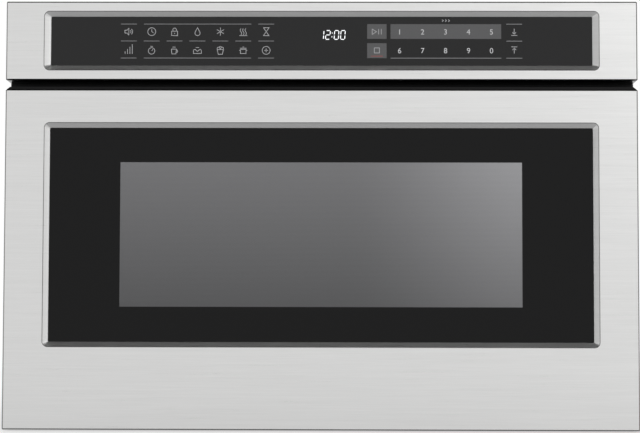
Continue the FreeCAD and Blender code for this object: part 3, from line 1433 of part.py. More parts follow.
def hv_capacitor():
    """Oval can on a foot with two lugs, terminals on top."""
    can = new_body("hv_capacitor")
    across, along = CAPACITOR
    top = f"{FLOOR_TOP} + capacitor_height"
    outline = rounded_rectangle(
        f"{across} - 45", f"{across} + 45", f"{along} - 26", f"{along} + 26", "25.9",
    )
    pad(can, "XY_Plane", outline, FLOOR_TOP, top)
    pad(can, "XY_Plane", around(CAPACITOR, "50.5", "11"), FLOOR_TOP, f"{FLOOR_TOP} + bracket_sheet")
    for side in ("-", "+"):
        terminal = regular(f"{across} {side} 17.5", along, "6", 8)
        pad(can, "XY_Plane", terminal, top, f"{top} + 12")
    node("hv_capacitor", can)


def hv_diode():
    """The high-voltage diode on its lug beside the capacitor."""
    start, along = "(capacitor_across + 51)", "capacitor_along"
    lug = block(
        "diode_lug", (start, f"{start} + 20"), (f"{along} - 11", f"{along} + 5"),
        (FLOOR_TOP, f"{FLOOR_TOP} + 1.5"),
    )
    centre = (f"{along} - 3", f"{FLOOR_TOP} + 5")
    barrel = rod("diode_barrel", "x", centre, "4", f"{start} + 2", f"{start} + 18")
    node("hv_diode", fuse("hv_diode", lug, barrel))


def noise_filter_board():
    """The line filter on four standoffs next to the gland."""
    level = f"{FLOOR_TOP} + filter_standoff"
    top = f"{level} + circuit_board_thickness"

    def on_board(name, across, along, low, high):
        """A box whose spans across and along count from the board's left front corner."""
        return block(
            name, [f"filter_left + {place}" for place in across],
            [f"filter_start + {place}" for place in along], (low, high),
        )

    pieces = [on_board("filter_board", (0, 74), (0, 96), level, top)]
    for across in (3, 65):
        for along in (3, 87):
            foot = ((across, across + 6), (along, along + 6))
            pieces.append(on_board(f"standoff_{across}_{along}", *foot, FLOOR_TOP, level))
    for name, across, along, height in (
        ("film_capacitor", (46, 68), (16, 46), 20),
        ("fuse_holder", (6, 34), (60, 82), 12),
        ("varistor", (46, 58), (64, 82), 14),
    ):
        pieces.append(on_board(name, across, along, top, f"{top} + {height}"))
    coil = new_body("choke_coil")
    pad(coil, "XY_Plane", regular("filter_left + 24", "filter_start + 32", "15", 12), top, f"{top} + 18")
    node("noise_filter_board", fuse("noise_filter_board", *pieces, coil))


FAN_CENTRE = ("fan_place", "fan_height")
SHROUD_BACK = f"({REAR_INSIDE} - 5)"
SHROUD_FRONT = f"({SHROUD_BACK} - fan_depth - 8)"


def fan_shroud():
    """Square frame with the round air path, and the four arms that hold the motor."""
    shroud = new_body("fan_shroud")
    half = "(fan_radius + 10)"
    pad(shroud, "XZ_Plane", around(FAN_CENTRE, half, half), SHROUD_FRONT, REAR_INSIDE)
    air_path = regular(*FAN_CENTRE, "fan_radius + fan_clearance", 24)
    pocket(shroud, "XZ_Plane", air_path, f"{SHROUD_FRONT} - 1", f"{REAR_INSIDE} + 1")
    louvre_room = around(FAN_CENTRE, "(fan_radius - 2)", "(fan_radius - 2)")
    pocket(shroud, "XZ_Plane", louvre_room, SHROUD_BACK, f"{REAR_INSIDE} + 1")
    arms = (SHROUD_FRONT, f"{SHROUD_FRONT} + 3")
    pad(shroud, "XZ_Plane", around(FAN_CENTRE, f"({half} - 2)", "5"), *arms)
    pad(shroud, "XZ_Plane", around(FAN_CENTRE, "5", f"({half} - 2)"), *arms)
    pad(shroud, "XZ_Plane", regular(*FAN_CENTRE, "20", 8), *arms)
    pocket(shroud, "XZ_Plane", regular(*FAN_CENTRE, "9", 8), f"{arms[0]} - 1", f"{arms[1]} + 1")
    node("fan_shroud", shroud)


def fan_motor():
    """Shaded-pole motor: laminated stack, coil and the bearing boss that carries the fan."""
    motor = new_body("fan_motor")
    back = SHROUD_FRONT
    stack = clipped("fan_place - 30", "fan_place + 30", "fan_height - 25", "fan_height + 35", "3")
    pad(motor, "XZ_Plane", stack, f"{back} - 16", back)
    pad(motor, "XZ_Plane", regular(*FAN_CENTRE, "15", 12), f"{back} - 26", f"{back} - 16")
    pad(motor, "XZ_Plane", regular(*FAN_CENTRE, "8", 8), back, f"{back} + 3.5")
    coil = rectangle("fan_place - 18", "fan_place + 18", "fan_height + 35", "fan_height + 55")
    pad(motor, "XZ_Plane", coil, f"{back} - 24", f"{back} - 4")
    bore = circle(*FAN_CENTRE, "shaft_radius / 2 + shaft_clearance")
    pocket(motor, "XZ_Plane", bore, f"{back} - 12", f"{back} + 5")
    node("fan_motor", motor)


def cambered_strip(chord, camber, pitch, thickness):
    """Draws a blade's section: a strip bent to a parabola, leaning by the pitch angle."""
    half, rise, lean = value(chord) / 2, value(camber), math.radians(value(pitch))
    middle = value("fan_depth") / 2

    def leaning(share, away):
        """A place at a share of the half chord, that far off the strip's inner side."""
        along, away = share * half, away + rise * (1 - share ** 2)
        across = along * math.sin(lean) - away * math.cos(lean)
        return (str(across), str(middle + along * math.cos(lean) + away * math.sin(lean)))

    shares = (-1, -0.4, 0.4, 1)
    inner = [leaning(share, 0) for share in shares]
    outer = [leaning(share, value(thickness)) for share in reversed(shares)]
    return polygon(*inner, *outer)


def fan_blade():
    """Seven cambered blades on a hub, with the shaft that runs in the motor."""
    fan = new_body("fan_blade")
    depth = "fan_depth"
    pad(fan, "XZ_Plane", regular("0", "0", "fan_hub_radius", 14), "0", depth)
    section = cambered_strip("fan_blade_chord", "fan_blade_camber", "fan_blade_pitch", "1.4")
    blade = pad(fan, "XY_Plane", section, "fan_hub_radius - 2", "fan_radius")
    repeat_round(fan, blade, "Y_Axis", SIZES["fan_blades"])
    pad(fan, "XZ_Plane", circle("0", "0", "shaft_radius / 2"), "-14.5", "0")
    bind(fan, "Placement.Base.x", "fan_place")
    bind(fan, "Placement.Base.y", f"{SHROUD_FRONT} + 5")
    bind(fan, "Placement.Base.z", "fan_height")
    node("fan_blade", fan)


# ---------------------------------------------------------------------------------------------
# Interlock
# ---------------------------------------------------------------------------------------------
def interlocks():
    """Moulded housings behind the latch slots, each with its two microswitches."""
    switches = []
    for side, sign in SIDES.items():
        housing = new_body(f"latch_housing_{side}")
        near, far = f"{HOOK_NEAR} - 7", f"{HOOK_FAR} + 7"
        low, high = f"{HOOK_LOW} - 6", f"{HOOK_HIGH} + 18"
        side_view = rectangle(FLANGE_BACK, f"{FLANGE_BACK} + 46", low, high)
        pad(housing, "YZ_Plane", side_view, *mirrored(sign, near, far))
        way = rectangle(f"{FLANGE_BACK} - 1", f"{FLANGE_BACK} + 36", f"{low} + 3", f"{HOOK_HIGH} + 5")
        pocket(housing, "YZ_Plane", way, *mirrored(sign, f"{near} + 3", f"{far} - 3"))
        node(f"latch_housing_{side}", housing)
        for index in range(2):
            start = f"({FLANGE_BACK} + 4 + {index} * 20)"
            case = block(
                f"switch_{side}_{index}", mirrored(sign, far, f"{far} + 10"),
                (start, f"{start} + 18"), (f"{HOOK_LOW}", f"{HOOK_LOW} + 12"),
            )
            terminals = block(
                f"terminal_{side}_{index}", mirrored(sign, f"{far} + 3", f"{far} + 7"),
                (f"{start} + 2", f"{start} + 16"), (f"{HOOK_LOW} - 6", HOOK_LOW),
            )
            switches.append(fuse(f"microswitch_{side}_{index}", case, terminals))
    node("interlock_switches", group("interlock_switches", *switches))


def door_screws():
    """Screws through the feet of the drawer brackets into the chassis."""
    screws = []
    for side, sign in SIDES.items():
        for index, up in enumerate((f"{RAIL_MIDDLE} - 14", f"{RAIL_MIDDLE} + 14")):
            centre = (f"{sign} * (slide_face - 14)", up)
            face = f"({CHASSIS_BACK} + bracket_sheet)"
            screws.append(hex_head(f"door_screw_{side}_{index}", centre, face))
    node("door_screws", group("door_screws", *screws))


def main():
    for make in (
        door_skin, control_panel_bezel, control_glass, control_board, panel_carrier,
        door_glass, door_chassis, door_top_cap, screen_plate, inner_glass, choke_cover, latch_hooks, tub,
        slide_members, slide_supports, drawer_brackets, drive_rack, drive_pinion, drive_unit,
        front_frame, base_plate, base_skids, outer_case, rear_cover, cord_gland, case_screws,
        oven_cavity, stirrer_chamber, stirrer_cover, stirrer_blade, stirrer_motor, waveguide, magnetron,
        oven_lamp, thermal_cutout, exhaust_duct, power_transformer, hv_capacitor, hv_diode,
        noise_filter_board, fan_shroud, fan_motor, fan_blade, interlocks, door_screws,
    ):
        make()
    doc.recompute()
    for thing in doc.Objects:
        if {"Invalid", "Error"} & set(thing.State):
            users = [each.Label for each in thing.InList]
            raise RuntimeError(f"{thing.Label} of {users} failed: {thing.State}")
    os.makedirs("parts", exist_ok=True)
    for thing in nodes:
        shape = thing.Shape
        if shape.isNull() or not shape.isValid():
            raise RuntimeError(f"{thing.Label} has no valid shape")
        shape.exportStep(f"parts/{thing.Label}.step")
    print(f"{len(nodes)} sub-parts")


main()
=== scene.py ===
"""Looks of the built-in microwave drawer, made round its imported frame.

Metres, in the frame's own axes: +X is the right of someone who faces the front, +Y goes into the
cabinet, +Z is up. Sizes that the frame doesn't give are named here, in millimetres times MM.
"""
import bmesh
import bpy
import json
import math
from mathutils import Matrix, Vector

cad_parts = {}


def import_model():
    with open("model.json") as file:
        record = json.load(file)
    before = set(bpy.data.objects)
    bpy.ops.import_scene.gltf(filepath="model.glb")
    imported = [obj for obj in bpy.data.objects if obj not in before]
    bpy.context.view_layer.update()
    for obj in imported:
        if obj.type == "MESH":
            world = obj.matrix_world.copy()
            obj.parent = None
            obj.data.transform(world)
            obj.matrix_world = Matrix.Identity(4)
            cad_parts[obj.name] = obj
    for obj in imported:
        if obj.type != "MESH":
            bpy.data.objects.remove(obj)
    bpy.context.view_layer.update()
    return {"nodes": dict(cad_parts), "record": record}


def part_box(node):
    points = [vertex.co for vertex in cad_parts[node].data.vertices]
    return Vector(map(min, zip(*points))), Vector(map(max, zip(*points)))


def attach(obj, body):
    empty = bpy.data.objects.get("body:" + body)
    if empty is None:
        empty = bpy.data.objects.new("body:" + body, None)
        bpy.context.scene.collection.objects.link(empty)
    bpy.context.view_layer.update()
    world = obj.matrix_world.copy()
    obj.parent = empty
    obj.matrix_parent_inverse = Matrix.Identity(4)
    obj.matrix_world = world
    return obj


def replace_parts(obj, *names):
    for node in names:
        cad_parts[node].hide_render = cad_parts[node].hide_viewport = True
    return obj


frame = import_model()
NODES = frame["nodes"]
MM = 0.001

SKIN_LOW, SKIN_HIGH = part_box("door_skin")
PANEL_LOW, PANEL_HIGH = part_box("control_panel_bezel")
GLASS_LOW, GLASS_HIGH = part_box("door_glass")
CONTROL_LOW, CONTROL_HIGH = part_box("control_glass")
FRONT = SKIN_LOW.y


# ---------------------------------------------------------------------------------------------
# Materials
# ---------------------------------------------------------------------------------------------
NOISE_REACH = (0.3, 0.7)
GRAIN_SHADES = (0.955, 1.045)
# The pitch of the holes, and their radius and soft edge in pitches.
WINDOW_HOLES, SCREEN_HOLES = 1.5 * MM, 2.0 * MM
HOLE_RADIUS, HOLE_EDGE = 0.3, 0.38
# The window's painted reflection: its level at the lower left, and what it gains upwards, to the right,
# and in both, so that it is lighter to the upper right.
WINDOW_SHADE, WINDOW_UP, WINDOW_RIGHT, WINDOW_CORNER = 0.081, 0.0665, 0.061, 0.062
WINDOW_BETWEEN_HOLES, WINDOW_IN_HOLES, WINDOW_BLUE = 1.2, 0.85, 1.03
# Where the painted glare to the right begins, and where it is full.
GLARE_START, GLARE_BEYOND = 20 * MM, 30 * MM


def add_node(tree, kind, inputs=(), **settings):
    """A new node; inputs pairs a socket's name or number with a value or another socket."""
    made = tree.nodes.new(kind)
    for setting, choice in settings.items():
        setattr(made, setting, choice)
    for socket, source in dict(inputs).items():
        if isinstance(source, bpy.types.NodeSocket):
            tree.links.new(source, made.inputs[socket])
        else:
            made.inputs[socket].default_value = source
    return made


class Finish:
    """A material under construction: its node tree and its Principled shader."""

    def __init__(self, name, color, roughness, metallic=0.0, **sockets):
        self.material = bpy.data.materials.new(name)
        self.material.use_nodes = True
        self.tree = self.material.node_tree
        self.shader = self.tree.nodes["Principled BSDF"]
        self.shader.inputs["Base Color"].default_value = (*color, 1)
        self.shader.inputs["Roughness"].default_value = roughness
        self.shader.inputs["Metallic"].default_value = metallic
        for socket, number in sockets.items():
            self.shader.inputs[socket.replace("_", " ")].default_value = number
        self.place = self.node("ShaderNodeTexCoord").outputs["Object"]

    def node(self, kind, inputs=(), **settings):
        return add_node(self.tree, kind, inputs, **settings)

    def math(self, operation, *sources):
        return self.node("ShaderNodeMath", enumerate(sources), operation=operation).outputs[0]

    def axes(self):
        """The place's x, y and z, in metres."""
        return self.node("ShaderNodeSeparateXYZ", {0: self.place}).outputs

    def scaled(self, x, y, z):
        """The place, with each axis in that many units a metre."""
        return self.node("ShaderNodeMapping", {"Vector": self.place, "Scale": (x, y, z)}).outputs[0]

    def noise(self, where, detail):
        texture = self.node("ShaderNodeTexNoise", {"Vector": where, "Scale": 1.0, "Detail": detail})
        return texture.outputs[0]

    def span(self, source, low, high, to_low, to_high, smooth=False):
        """The source carried from one range to another, and held at its ends."""
        kind = "SMOOTHSTEP" if smooth else "LINEAR"
        inputs = {"Value": source, 1: low, 2: high, 3: to_low, 4: to_high}
        return self.node("ShaderNodeMapRange", inputs, interpolation_type=kind).outputs[0]

    def mixed(self, factor, first, second):
        """A colour between two, by factor."""
        inputs = {0: factor, 6: (*first, 1), 7: (*second, 1)}
        return self.node("ShaderNodeMix", inputs, data_type="RGBA").outputs[2]

    def color(self, source):
        self.tree.links.new(source, self.shader.inputs["Base Color"])

    def tint(self, source, first, second, reach=NOISE_REACH):
        """Colours the surface between two colours, as source crosses its reach."""
        self.color(self.mixed(self.span(source, *reach, 0, 1), first, second))

    def rough(self, source, low, high):
        """Makes the surface's roughness go from low to high with a noise."""
        self.tree.links.new(self.span(source, *NOISE_REACH, low, high), self.shader.inputs["Roughness"])

    def bump(self, height, depth, strength=1.0):
        inputs = {"Height": height, "Distance": depth, "Strength": strength}
        normal = self.node("ShaderNodeBump", inputs).outputs[0]
        self.tree.links.new(normal, self.shader.inputs["Normal"])


def shade(color, factor):
    return tuple(min(1.0, part * factor) for part in color)


def brushed_steel(name, color):
    """Stainless steel with a horizontal brushed grain."""
    finish = Finish(name, color, 0.3, metallic=1.0)
    grain = finish.noise(finish.scaled(30, 30, 2600), detail=3)
    streaks = finish.noise(finish.scaled(8, 8, 420), detail=3)
    both = finish.math("MULTIPLY_ADD", grain, 0.6, finish.math("MULTIPLY", streaks, 0.4))
    finish.tint(both, *(shade(color, factor) for factor in GRAIN_SHADES))
    finish.rough(both, 0.27, 0.33)
    finish.bump(grain, 0.02 * MM, 0.12)
    return finish.material


def fold_painted_shade():
    """The steel of the folds, the rim lines round the recess and the bottom faces: smoother, and darker
    as painted shade for the dark outline of these edges.
    """
    # The dark base colour is painted shade on the folds, the rim lines and the bottom faces.
    color = (0.13, 0.13, 0.13)
    finish = Finish("fold_painted_shade", color, 0.16, metallic=1.0)
    tone_noise = finish.noise(finish.scaled(40, 40, 40), detail=2)
    finish.tint(tone_noise, shade(color, 0.9), shade(color, 1.1))
    return finish.material


def black_glass(name, level, specular):
    """Polished glass that is printed black on its back."""
    finish = Finish(name, (level, level, level * 1.04), 0.04, Specular_IOR_Level=specular)
    waves = finish.noise(finish.scaled(9, 9, 9), detail=1)
    finish.bump(waves, 0.06 * MM, 0.25)
    return finish.material


def window_screen():
    """The grey window: perforated metal behind the pane, with a painted reflection that makes it
    lighter to the upper right.
    """
    finish = Finish("window_screen", (0.12, 0.12, 0.125), 0.05, Specular_IOR_Level=0.25)
    x, _, z = finish.axes()
    # Painted reflection: the level rises upwards and towards the right; the holes below are the
    # screen's own pattern.
    up = finish.span(z, WINDOW["low"], WINDOW["high"], 0, 1)
    right = finish.span(x, GLARE_START, WINDOW["half"] + GLARE_BEYOND, 0, 1, smooth=True)
    base = finish.math("MULTIPLY_ADD", up, WINDOW_UP, WINDOW_SHADE)
    rise = finish.math("MULTIPLY_ADD", up, WINDOW_CORNER, WINDOW_RIGHT)
    level = finish.math("MULTIPLY_ADD", right, rise, base)
    hole = perforation(finish, WINDOW_HOLES)
    pattern = finish.span(hole, 0, 1, WINDOW_BETWEEN_HOLES, WINDOW_IN_HOLES)
    level = finish.math("MULTIPLY", level, pattern)
    bluer = finish.math("MULTIPLY", level, WINDOW_BLUE)
    finish.color(finish.node("ShaderNodeCombineColor", {0: level, 1: level, 2: bluer}).outputs[0])
    return finish.material


def perforation(finish, pitch):
    """1 inside the round holes of a staggered pattern on the XZ plane, 0 between them.

    A metre is added to each place, so that none is negative.
    """
    x, _, z = finish.axes()
    row = pitch * math.sqrt(3) / 2
    holes = []
    for shift_x, shift_z in ((0, 0), (pitch / 2, row)):
        across = finish.math("PINGPONG", finish.math("ADD", x, 1 + shift_x), pitch / 2)
        up = finish.math("PINGPONG", finish.math("ADD", z, 1 + shift_z), row)
        squares = finish.math("MULTIPLY_ADD", across, across, finish.math("MULTIPLY", up, up))
        holes.append(finish.math("SQRT", squares))
    nearest = finish.math("MINIMUM", *holes)
    return finish.span(nearest, HOLE_RADIUS * pitch, HOLE_EDGE * pitch, 1, 0)


def perforated_screen():
    """Black-painted sheet with its pattern of small holes."""
    finish = Finish("screen", (0.05, 0.05, 0.05), 0.45, metallic=0.4)
    hole = perforation(finish, SCREEN_HOLES)
    finish.color(finish.mixed(hole, (0.09, 0.09, 0.092), (0.008, 0.008, 0.008)))
    finish.bump(finish.math("SUBTRACT", 1.0, hole), 0.3 * MM, 0.6)
    return finish.material


def moulded(name, color, roughness, specular=0.4):
    """Moulded plastic with a fine grain."""
    finish = Finish(name, color, roughness, Specular_IOR_Level=specular)
    grain = finish.noise(finish.scaled(900, 900, 900), detail=2)
    patches = finish.noise(finish.scaled(14, 14, 14), detail=2)
    finish.tint(patches, shade(color, 0.9), shade(color, 1.12))
    finish.rough(grain, roughness - 0.06, roughness + 0.08)
    finish.bump(grain, 0.05 * MM, 0.5)
    return finish.material


def enamel(name, color, roughness, speckle, coat=0.25):
    """Sprayed or fired paint: orange peel, and light specks."""
    finish = Finish(
        name, color, roughness, Specular_IOR_Level=coat * 2, Coat_Weight=coat, Coat_Roughness=0.15,
    )
    peel = finish.noise(finish.scaled(260, 260, 260), detail=1)
    specks = finish.node("ShaderNodeTexVoronoi", {"Vector": finish.place, "Scale": 420.0})
    dots = finish.span(specks.outputs["Distance"], 0.1, 0.22, 1, 0)
    finish.color(finish.mixed(finish.math("MULTIPLY", dots, speckle), color, shade(color, 1.7)))
    finish.bump(peel, 0.08 * MM, 0.4)
    return finish.material


def zinc_sheet():
    """Galvanised sheet: soft spangle, and rolling marks."""
    finish = Finish("zinc_sheet", (0.45, 0.465, 0.475), 0.6, metallic=0.6, Specular_IOR_Level=0.3)
    crystals = finish.node("ShaderNodeTexVoronoi", {"Vector": finish.place, "Scale": 130.0})
    spangle = finish.math("MULTIPLY_ADD", crystals.outputs["Color"], 0.35, 0.32)
    clouds = finish.noise(finish.scaled(7, 7, 7), detail=3)
    tone = finish.math("MULTIPLY_ADD", spangle, 0.7, finish.math("MULTIPLY", clouds, 0.3))
    finish.tint(tone, (0.34, 0.355, 0.365), (0.5, 0.515, 0.525))
    finish.rough(tone, 0.5, 0.68)
    return finish.material


def pressed_metal(name, color, roughness):
    """Plain pressed or turned metal with fine scratches."""
    finish = Finish(name, color, roughness, metallic=1.0)
    scratches = finish.noise(finish.scaled(60, 900, 900), detail=2)
    finish.color(finish.mixed(scratches, shade(color, 0.85), shade(color, 1.1)))
    finish.rough(scratches, roughness - 0.08, roughness + 0.1)
    return finish.material


def tray_glass():
    """White opal glass of the tray, a little uneven."""
    finish = Finish("tray_ceramic", (0.78, 0.78, 0.76), 0.12, Coat_Weight=0.6, Coat_Roughness=0.05)
    waves = finish.noise(finish.scaled(25, 25, 25), detail=2)
    finish.tint(waves, (0.77, 0.775, 0.76), (0.795, 0.795, 0.78), reach=(0.35, 0.65))
    finish.bump(waves, 0.1 * MM, 0.2)
    return finish.material


def inner_pane():
    """The clear inner pane, over the black screen."""
    finish = Finish("clear_glass", (0.03, 0.032, 0.032), 0.05)
    hole = perforation(finish, SCREEN_HOLES)
    finish.color(finish.mixed(hole, (0.075, 0.078, 0.078), (0.012, 0.012, 0.012)))
    return finish.material


def laminations():
    """Varnished iron laminations, edge on."""
    finish = Finish("laminated_core", (0.2, 0.19, 0.18), 0.5, metallic=0.5)
    stack = {"Vector": finish.place, "Scale": 320.0, "Distortion": 0.4}
    layer = finish.node("ShaderNodeTexWave", stack, bands_direction="Y").outputs["Fac"]
    finish.color(finish.mixed(layer, (0.05, 0.045, 0.04), (0.26, 0.24, 0.22)))
    finish.bump(layer, 0.1 * MM, 0.5)
    return finish.material


def circuit():
    """Green solder mask with lighter copper runs under it."""
    finish = Finish("circuit", (0.03, 0.13, 0.06), 0.3, Coat_Weight=0.4)
    cells = {"Vector": finish.place, "Scale": 260.0}
    runs = finish.node("ShaderNodeTexVoronoi", cells, distance="MANHATTAN").outputs["Distance"]
    finish.tint(runs, (0.05, 0.2, 0.09), (0.02, 0.1, 0.045), reach=(0.25, 0.4))
    return finish.material


def nylon():
    """Natural nylon of the rack and the pinion."""
    finish = Finish(
        "gear_nylon", (0.8, 0.77, 0.66), 0.42, Subsurface_Weight=0.15, Subsurface_Scale=2 * MM,
    )
    clouds = finish.noise(finish.scaled(60, 60, 60), detail=2)
    finish.color(finish.mixed(clouds, (0.74, 0.71, 0.6), (0.84, 0.82, 0.73)))
    return finish.material


def printed(name, color, glow=0.0):
    """Ink, or a lit segment, on the control glass."""
    finish = Finish(name, color, 0.5, Emission_Color=(*color, 1), Emission_Strength=glow)
    grain = finish.noise(finish.scaled(1500, 1500, 1500), detail=1)
    finish.color(finish.mixed(grain, shade(color, 0.92), shade(color, 1.08)))
    return finish.material


# ---------------------------------------------------------------------------------------------
# Meshes
# ---------------------------------------------------------------------------------------------
SHARP_ANGLE, EASED_ANGLE = math.radians(35), math.radians(50)
FRONT_CORNER_STEPS, TRAY_CORNER_STEPS = 10, 8
TOUCHING = 1e-6


def finished(name, mesh, materials, body):
    """An object of a mesh: smooth where it is round, riding on its body."""
    mesh.polygons.foreach_set("use_smooth", [True] * len(mesh.polygons))
    mesh.set_sharp_from_angle(angle=SHARP_ANGLE)
    for material in materials:
        mesh.materials.append(material)
    piece = bpy.data.objects.new(name, mesh)
    bpy.context.scene.collection.objects.link(piece)
    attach(piece, body)
    return piece


def mesh_of(name, build):
    """A mesh that build fills as a bmesh, with its normals outwards."""
    mesh = bpy.data.meshes.new(name)
    work = bmesh.new()
    build(work)
    bmesh.ops.recalc_face_normals(work, faces=work.faces)
    work.to_mesh(mesh)
    work.free()
    return mesh


def ring(half, low, high, radius, depth):
    """Points of a rounded rectangle on the front, at a depth behind the front's face."""
    points = []
    centres = (
        (half - radius, low + radius, -90), (half - radius, high - radius, 0),
        (radius - half, high - radius, 90), (radius - half, low + radius, 180),
    )
    for x, z, start in centres:
        for step in range(FRONT_CORNER_STEPS + 1):
            angle = math.radians(start + 90 * step / FRONT_CORNER_STEPS)
            across, up = radius * math.cos(angle), radius * math.sin(angle)
            points.append(Vector((x + across, FRONT + depth, z + up)))
    return points


def bands(work, loops):
    """Adds the faces between each loop of corners and the next."""
    for loop, following in zip(loops, loops[1:]):
        for index in range(len(loop)):
            after = (index + 1) % len(loop)
            work.faces.new((loop[index], loop[after], following[after], following[index]))


def loops_of(work, rings):
    return [[work.verts.new(point) for point in points] for points in rings]


# ---------------------------------------------------------------------------------------------
# Stainless fronts: folded pans with a bevelled frame round the glass
# ---------------------------------------------------------------------------------------------
SKIN_SHEET = 1.2 * MM
FOLD_WIDTH, FOLD_DEPTH = 1.5 * MM, 1.9 * MM
OUTER_CORNER = 1.6 * MM
DOOR_BEVEL, PANEL_BEVEL = 4.2 * MM, 4.8 * MM
LAND_DEPTH = 5.2 * MM
LAND_WIDTH = 3 * MM
RIM, RIM_DEPTH = 0.7 * MM, 0.4 * MM
SUPPORT = 0.08 * MM
FACING_DOWN = -0.4


def steel_front(name, node, box, recess, opening, bevel, body):
    """The pan of one front. Recess and opening are (half width, low, high, corner radius)."""
    low, high = box
    half, bottom, top, back = high.x, low.z, high.z, high.y - FRONT

    def outer(inset, depth):
        corner = max(OUTER_CORNER - inset, SUPPORT)
        return ring(half - inset, bottom + inset, top - inset, corner, depth)

    def inner(outline, grown, depth):
        width, foot, head, corner = outline
        return ring(width + grown, foot - grown, head + grown, corner + grown, depth)

    rings = [
        outer(0, back), outer(0, FOLD_DEPTH + 0.4 * MM), outer(SUPPORT, FOLD_DEPTH),
        outer(FOLD_WIDTH, 0), outer(FOLD_WIDTH + SUPPORT, 0),
        inner(recess, RIM + SUPPORT, 0), inner(recess, RIM, 0), inner(recess, RIM * 0.55, 0.05 * MM),
        inner(recess, RIM * 0.15, 0.25 * MM), inner(recess, 0, RIM_DEPTH),
        inner(opening, 0.35 * MM, bevel - 0.3 * MM), inner(opening, 0.1 * MM, bevel),
        inner(opening, 0, bevel + 0.2 * MM), inner(opening, 0, LAND_DEPTH),
        inner(recess, LAND_WIDTH, LAND_DEPTH), inner(recess, LAND_WIDTH, SKIN_SHEET),
        outer(SKIN_SHEET, SKIN_SHEET), outer(SKIN_SHEET, back),
    ]

    def build(work):
        loops = loops_of(work, rings)
        bands(work, loops + loops[:1])

    mesh = mesh_of(name, build)
    for face in mesh.polygons:
        place, depth = face.center, face.center.y - FRONT
        within = bottom + FOLD_WIDTH < place.z < top - FOLD_WIDTH
        outside = abs(place.x) > half - FOLD_WIDTH or not within
        # Painted shade: the folds, the rim lines round the recess and the bottom faces get the darker
        # steel.
        shaded_edge = TOUCHING < depth < (FOLD_DEPTH if outside else RIM_DEPTH)
        # Painted shade: the bevel faces that face down get a darker copy of the stainless steel.
        shaded_bevel = not outside and RIM_DEPTH < depth < bevel and face.normal.z < FACING_DOWN
        face.material_index = 2 if shaded_bevel else int(shaded_edge or place.z < bottom + TOUCHING)
    materials = [MATERIALS[key] for key in ("stainless", "fold_painted_shade", "bevel_painted_shade")]
    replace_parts(finished(name, mesh, materials, body), node)


DOOR_RECESS = (298.5 * MM, 90.5 * MM, 331.5 * MM, 5.5 * MM)
DOOR_OPENING = (293 * MM, 95.7 * MM, 326.4 * MM, 1.2 * MM)
PANEL_RECESS = (299.6 * MM, 389.1 * MM, 452.7 * MM, 5.5 * MM)
PANEL_OPENING = (293 * MM, 394.5 * MM, 447.7 * MM, 1.2 * MM)
WINDOW = {"half": 216.6 * MM, "low": 133.4 * MM, "high": 289.3 * MM}


def door_pane():
    """The black pane of the drawer front, clear over the window."""
    half, low, high = GLASS_HIGH.x, GLASS_LOW.z, GLASS_HIGH.z
    across = (-half, -WINDOW["half"], WINDOW["half"], half)
    up = (low, WINDOW["low"], WINDOW["high"], high)

    def build(work):
        sides = []
        for y in (GLASS_LOW.y, GLASS_HIGH.y):
            grid = [[work.verts.new((x, y, z)) for x in across] for z in up]
            sides.append(grid)
            for row in range(3):
                for column in range(3):
                    face = work.faces.new((
                        grid[row][column], grid[row][column + 1],
                        grid[row + 1][column + 1], grid[row + 1][column],
                    ))
                    face.material_index = int(row == 1 and column == 1)
        rims = []
        for grid in sides:
            left, right = [row[0] for row in grid[1:-1]], [row[-1] for row in grid[1:-1]]
            rims.append(grid[0] + right + grid[-1][::-1] + left[::-1])
        bands(work, rims)

    materials = [MATERIALS["black_glass"], MATERIALS["window_screen"]]
    piece = finished("door_pane", mesh_of("door_pane", build), materials, "drawer")
    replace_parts(piece, "door_glass")


# ---------------------------------------------------------------------------------------------
# Print on the control glass
# ---------------------------------------------------------------------------------------------
PRINT_DEPTH = 0.05 * MM
COLUMN_PITCH = 24.85 * MM
FIRST_COLUMN = -208.8 * MM
KEY_ROWS = (431.5 * MM, 411.1 * MM)
LINE_ROWS = (439.8 * MM, 421.3 * MM, 402.7 * MM)
HALF_DASH = 8.6 * MM
LINE_WIDTH = 0.75 * MM
ICON_WIDTH = 0.62 * MM
ICON_SIZE = 4.3 * MM
DIGIT_HEIGHT = 6.0 * MM
CAPITAL_SHARE = 0.73
FIRST_DIGIT = 84.8 * MM
QUICK_ROW = 443.6 * MM
# Fields behind keys: left, right, low and high.
DIGIT_BOX = (75.0 * MM, 194.7 * MM, 423.7 * MM, 439.8 * MM)
START_BOX = (49.7 * MM, 70.7 * MM, 423.7 * MM, 439.8 * MM)
CLEAR_BOX = (49.7 * MM, 70.7 * MM, 402.7 * MM, 419.0 * MM)
FIELD_DEPTH = 0.4 * PRINT_DEPTH
OFF_INSET, OFF_RISE, OFF_WIDTH = 4 * MM, 2.2 * MM, 0.6 * MM
OPEN_COLUMN = 208.8 * MM
MITRE_LIMIT = 0.4


def arc(x, z, radius, start=0, end=360):
    """Points along an arc, about 18 degrees apart."""
    count = max(4, round(abs(end - start) / 18))
    angles = [math.radians(start + (end - start) * step / count) for step in range(count + 1)]
    return [(x + radius * math.cos(angle), z + radius * math.sin(angle)) for angle in angles]


def closed(*points):
    return [*points, points[0]]


def wave(rise, turns=1.0):
    """A wavy line across the icon's square."""
    steps = [index / 12 for index in range(13)]
    return [(2 * share - 1, rise * math.sin(2 * math.pi * turns * share)) for share in steps]


def upright_wave(x, rise):
    return [(x + sideways, along * 0.8) for along, sideways in wave(rise)]


def spoke(degrees):
    """A line through the icon's middle."""
    x, z = math.cos(math.radians(degrees)), math.sin(math.radians(degrees))
    return [(-x, -z), (x, z)]


def bar(x, low, high):
    return [(x, low), (x, high)]


def dash(left, right, z):
    return [(left, z), (right, z)]


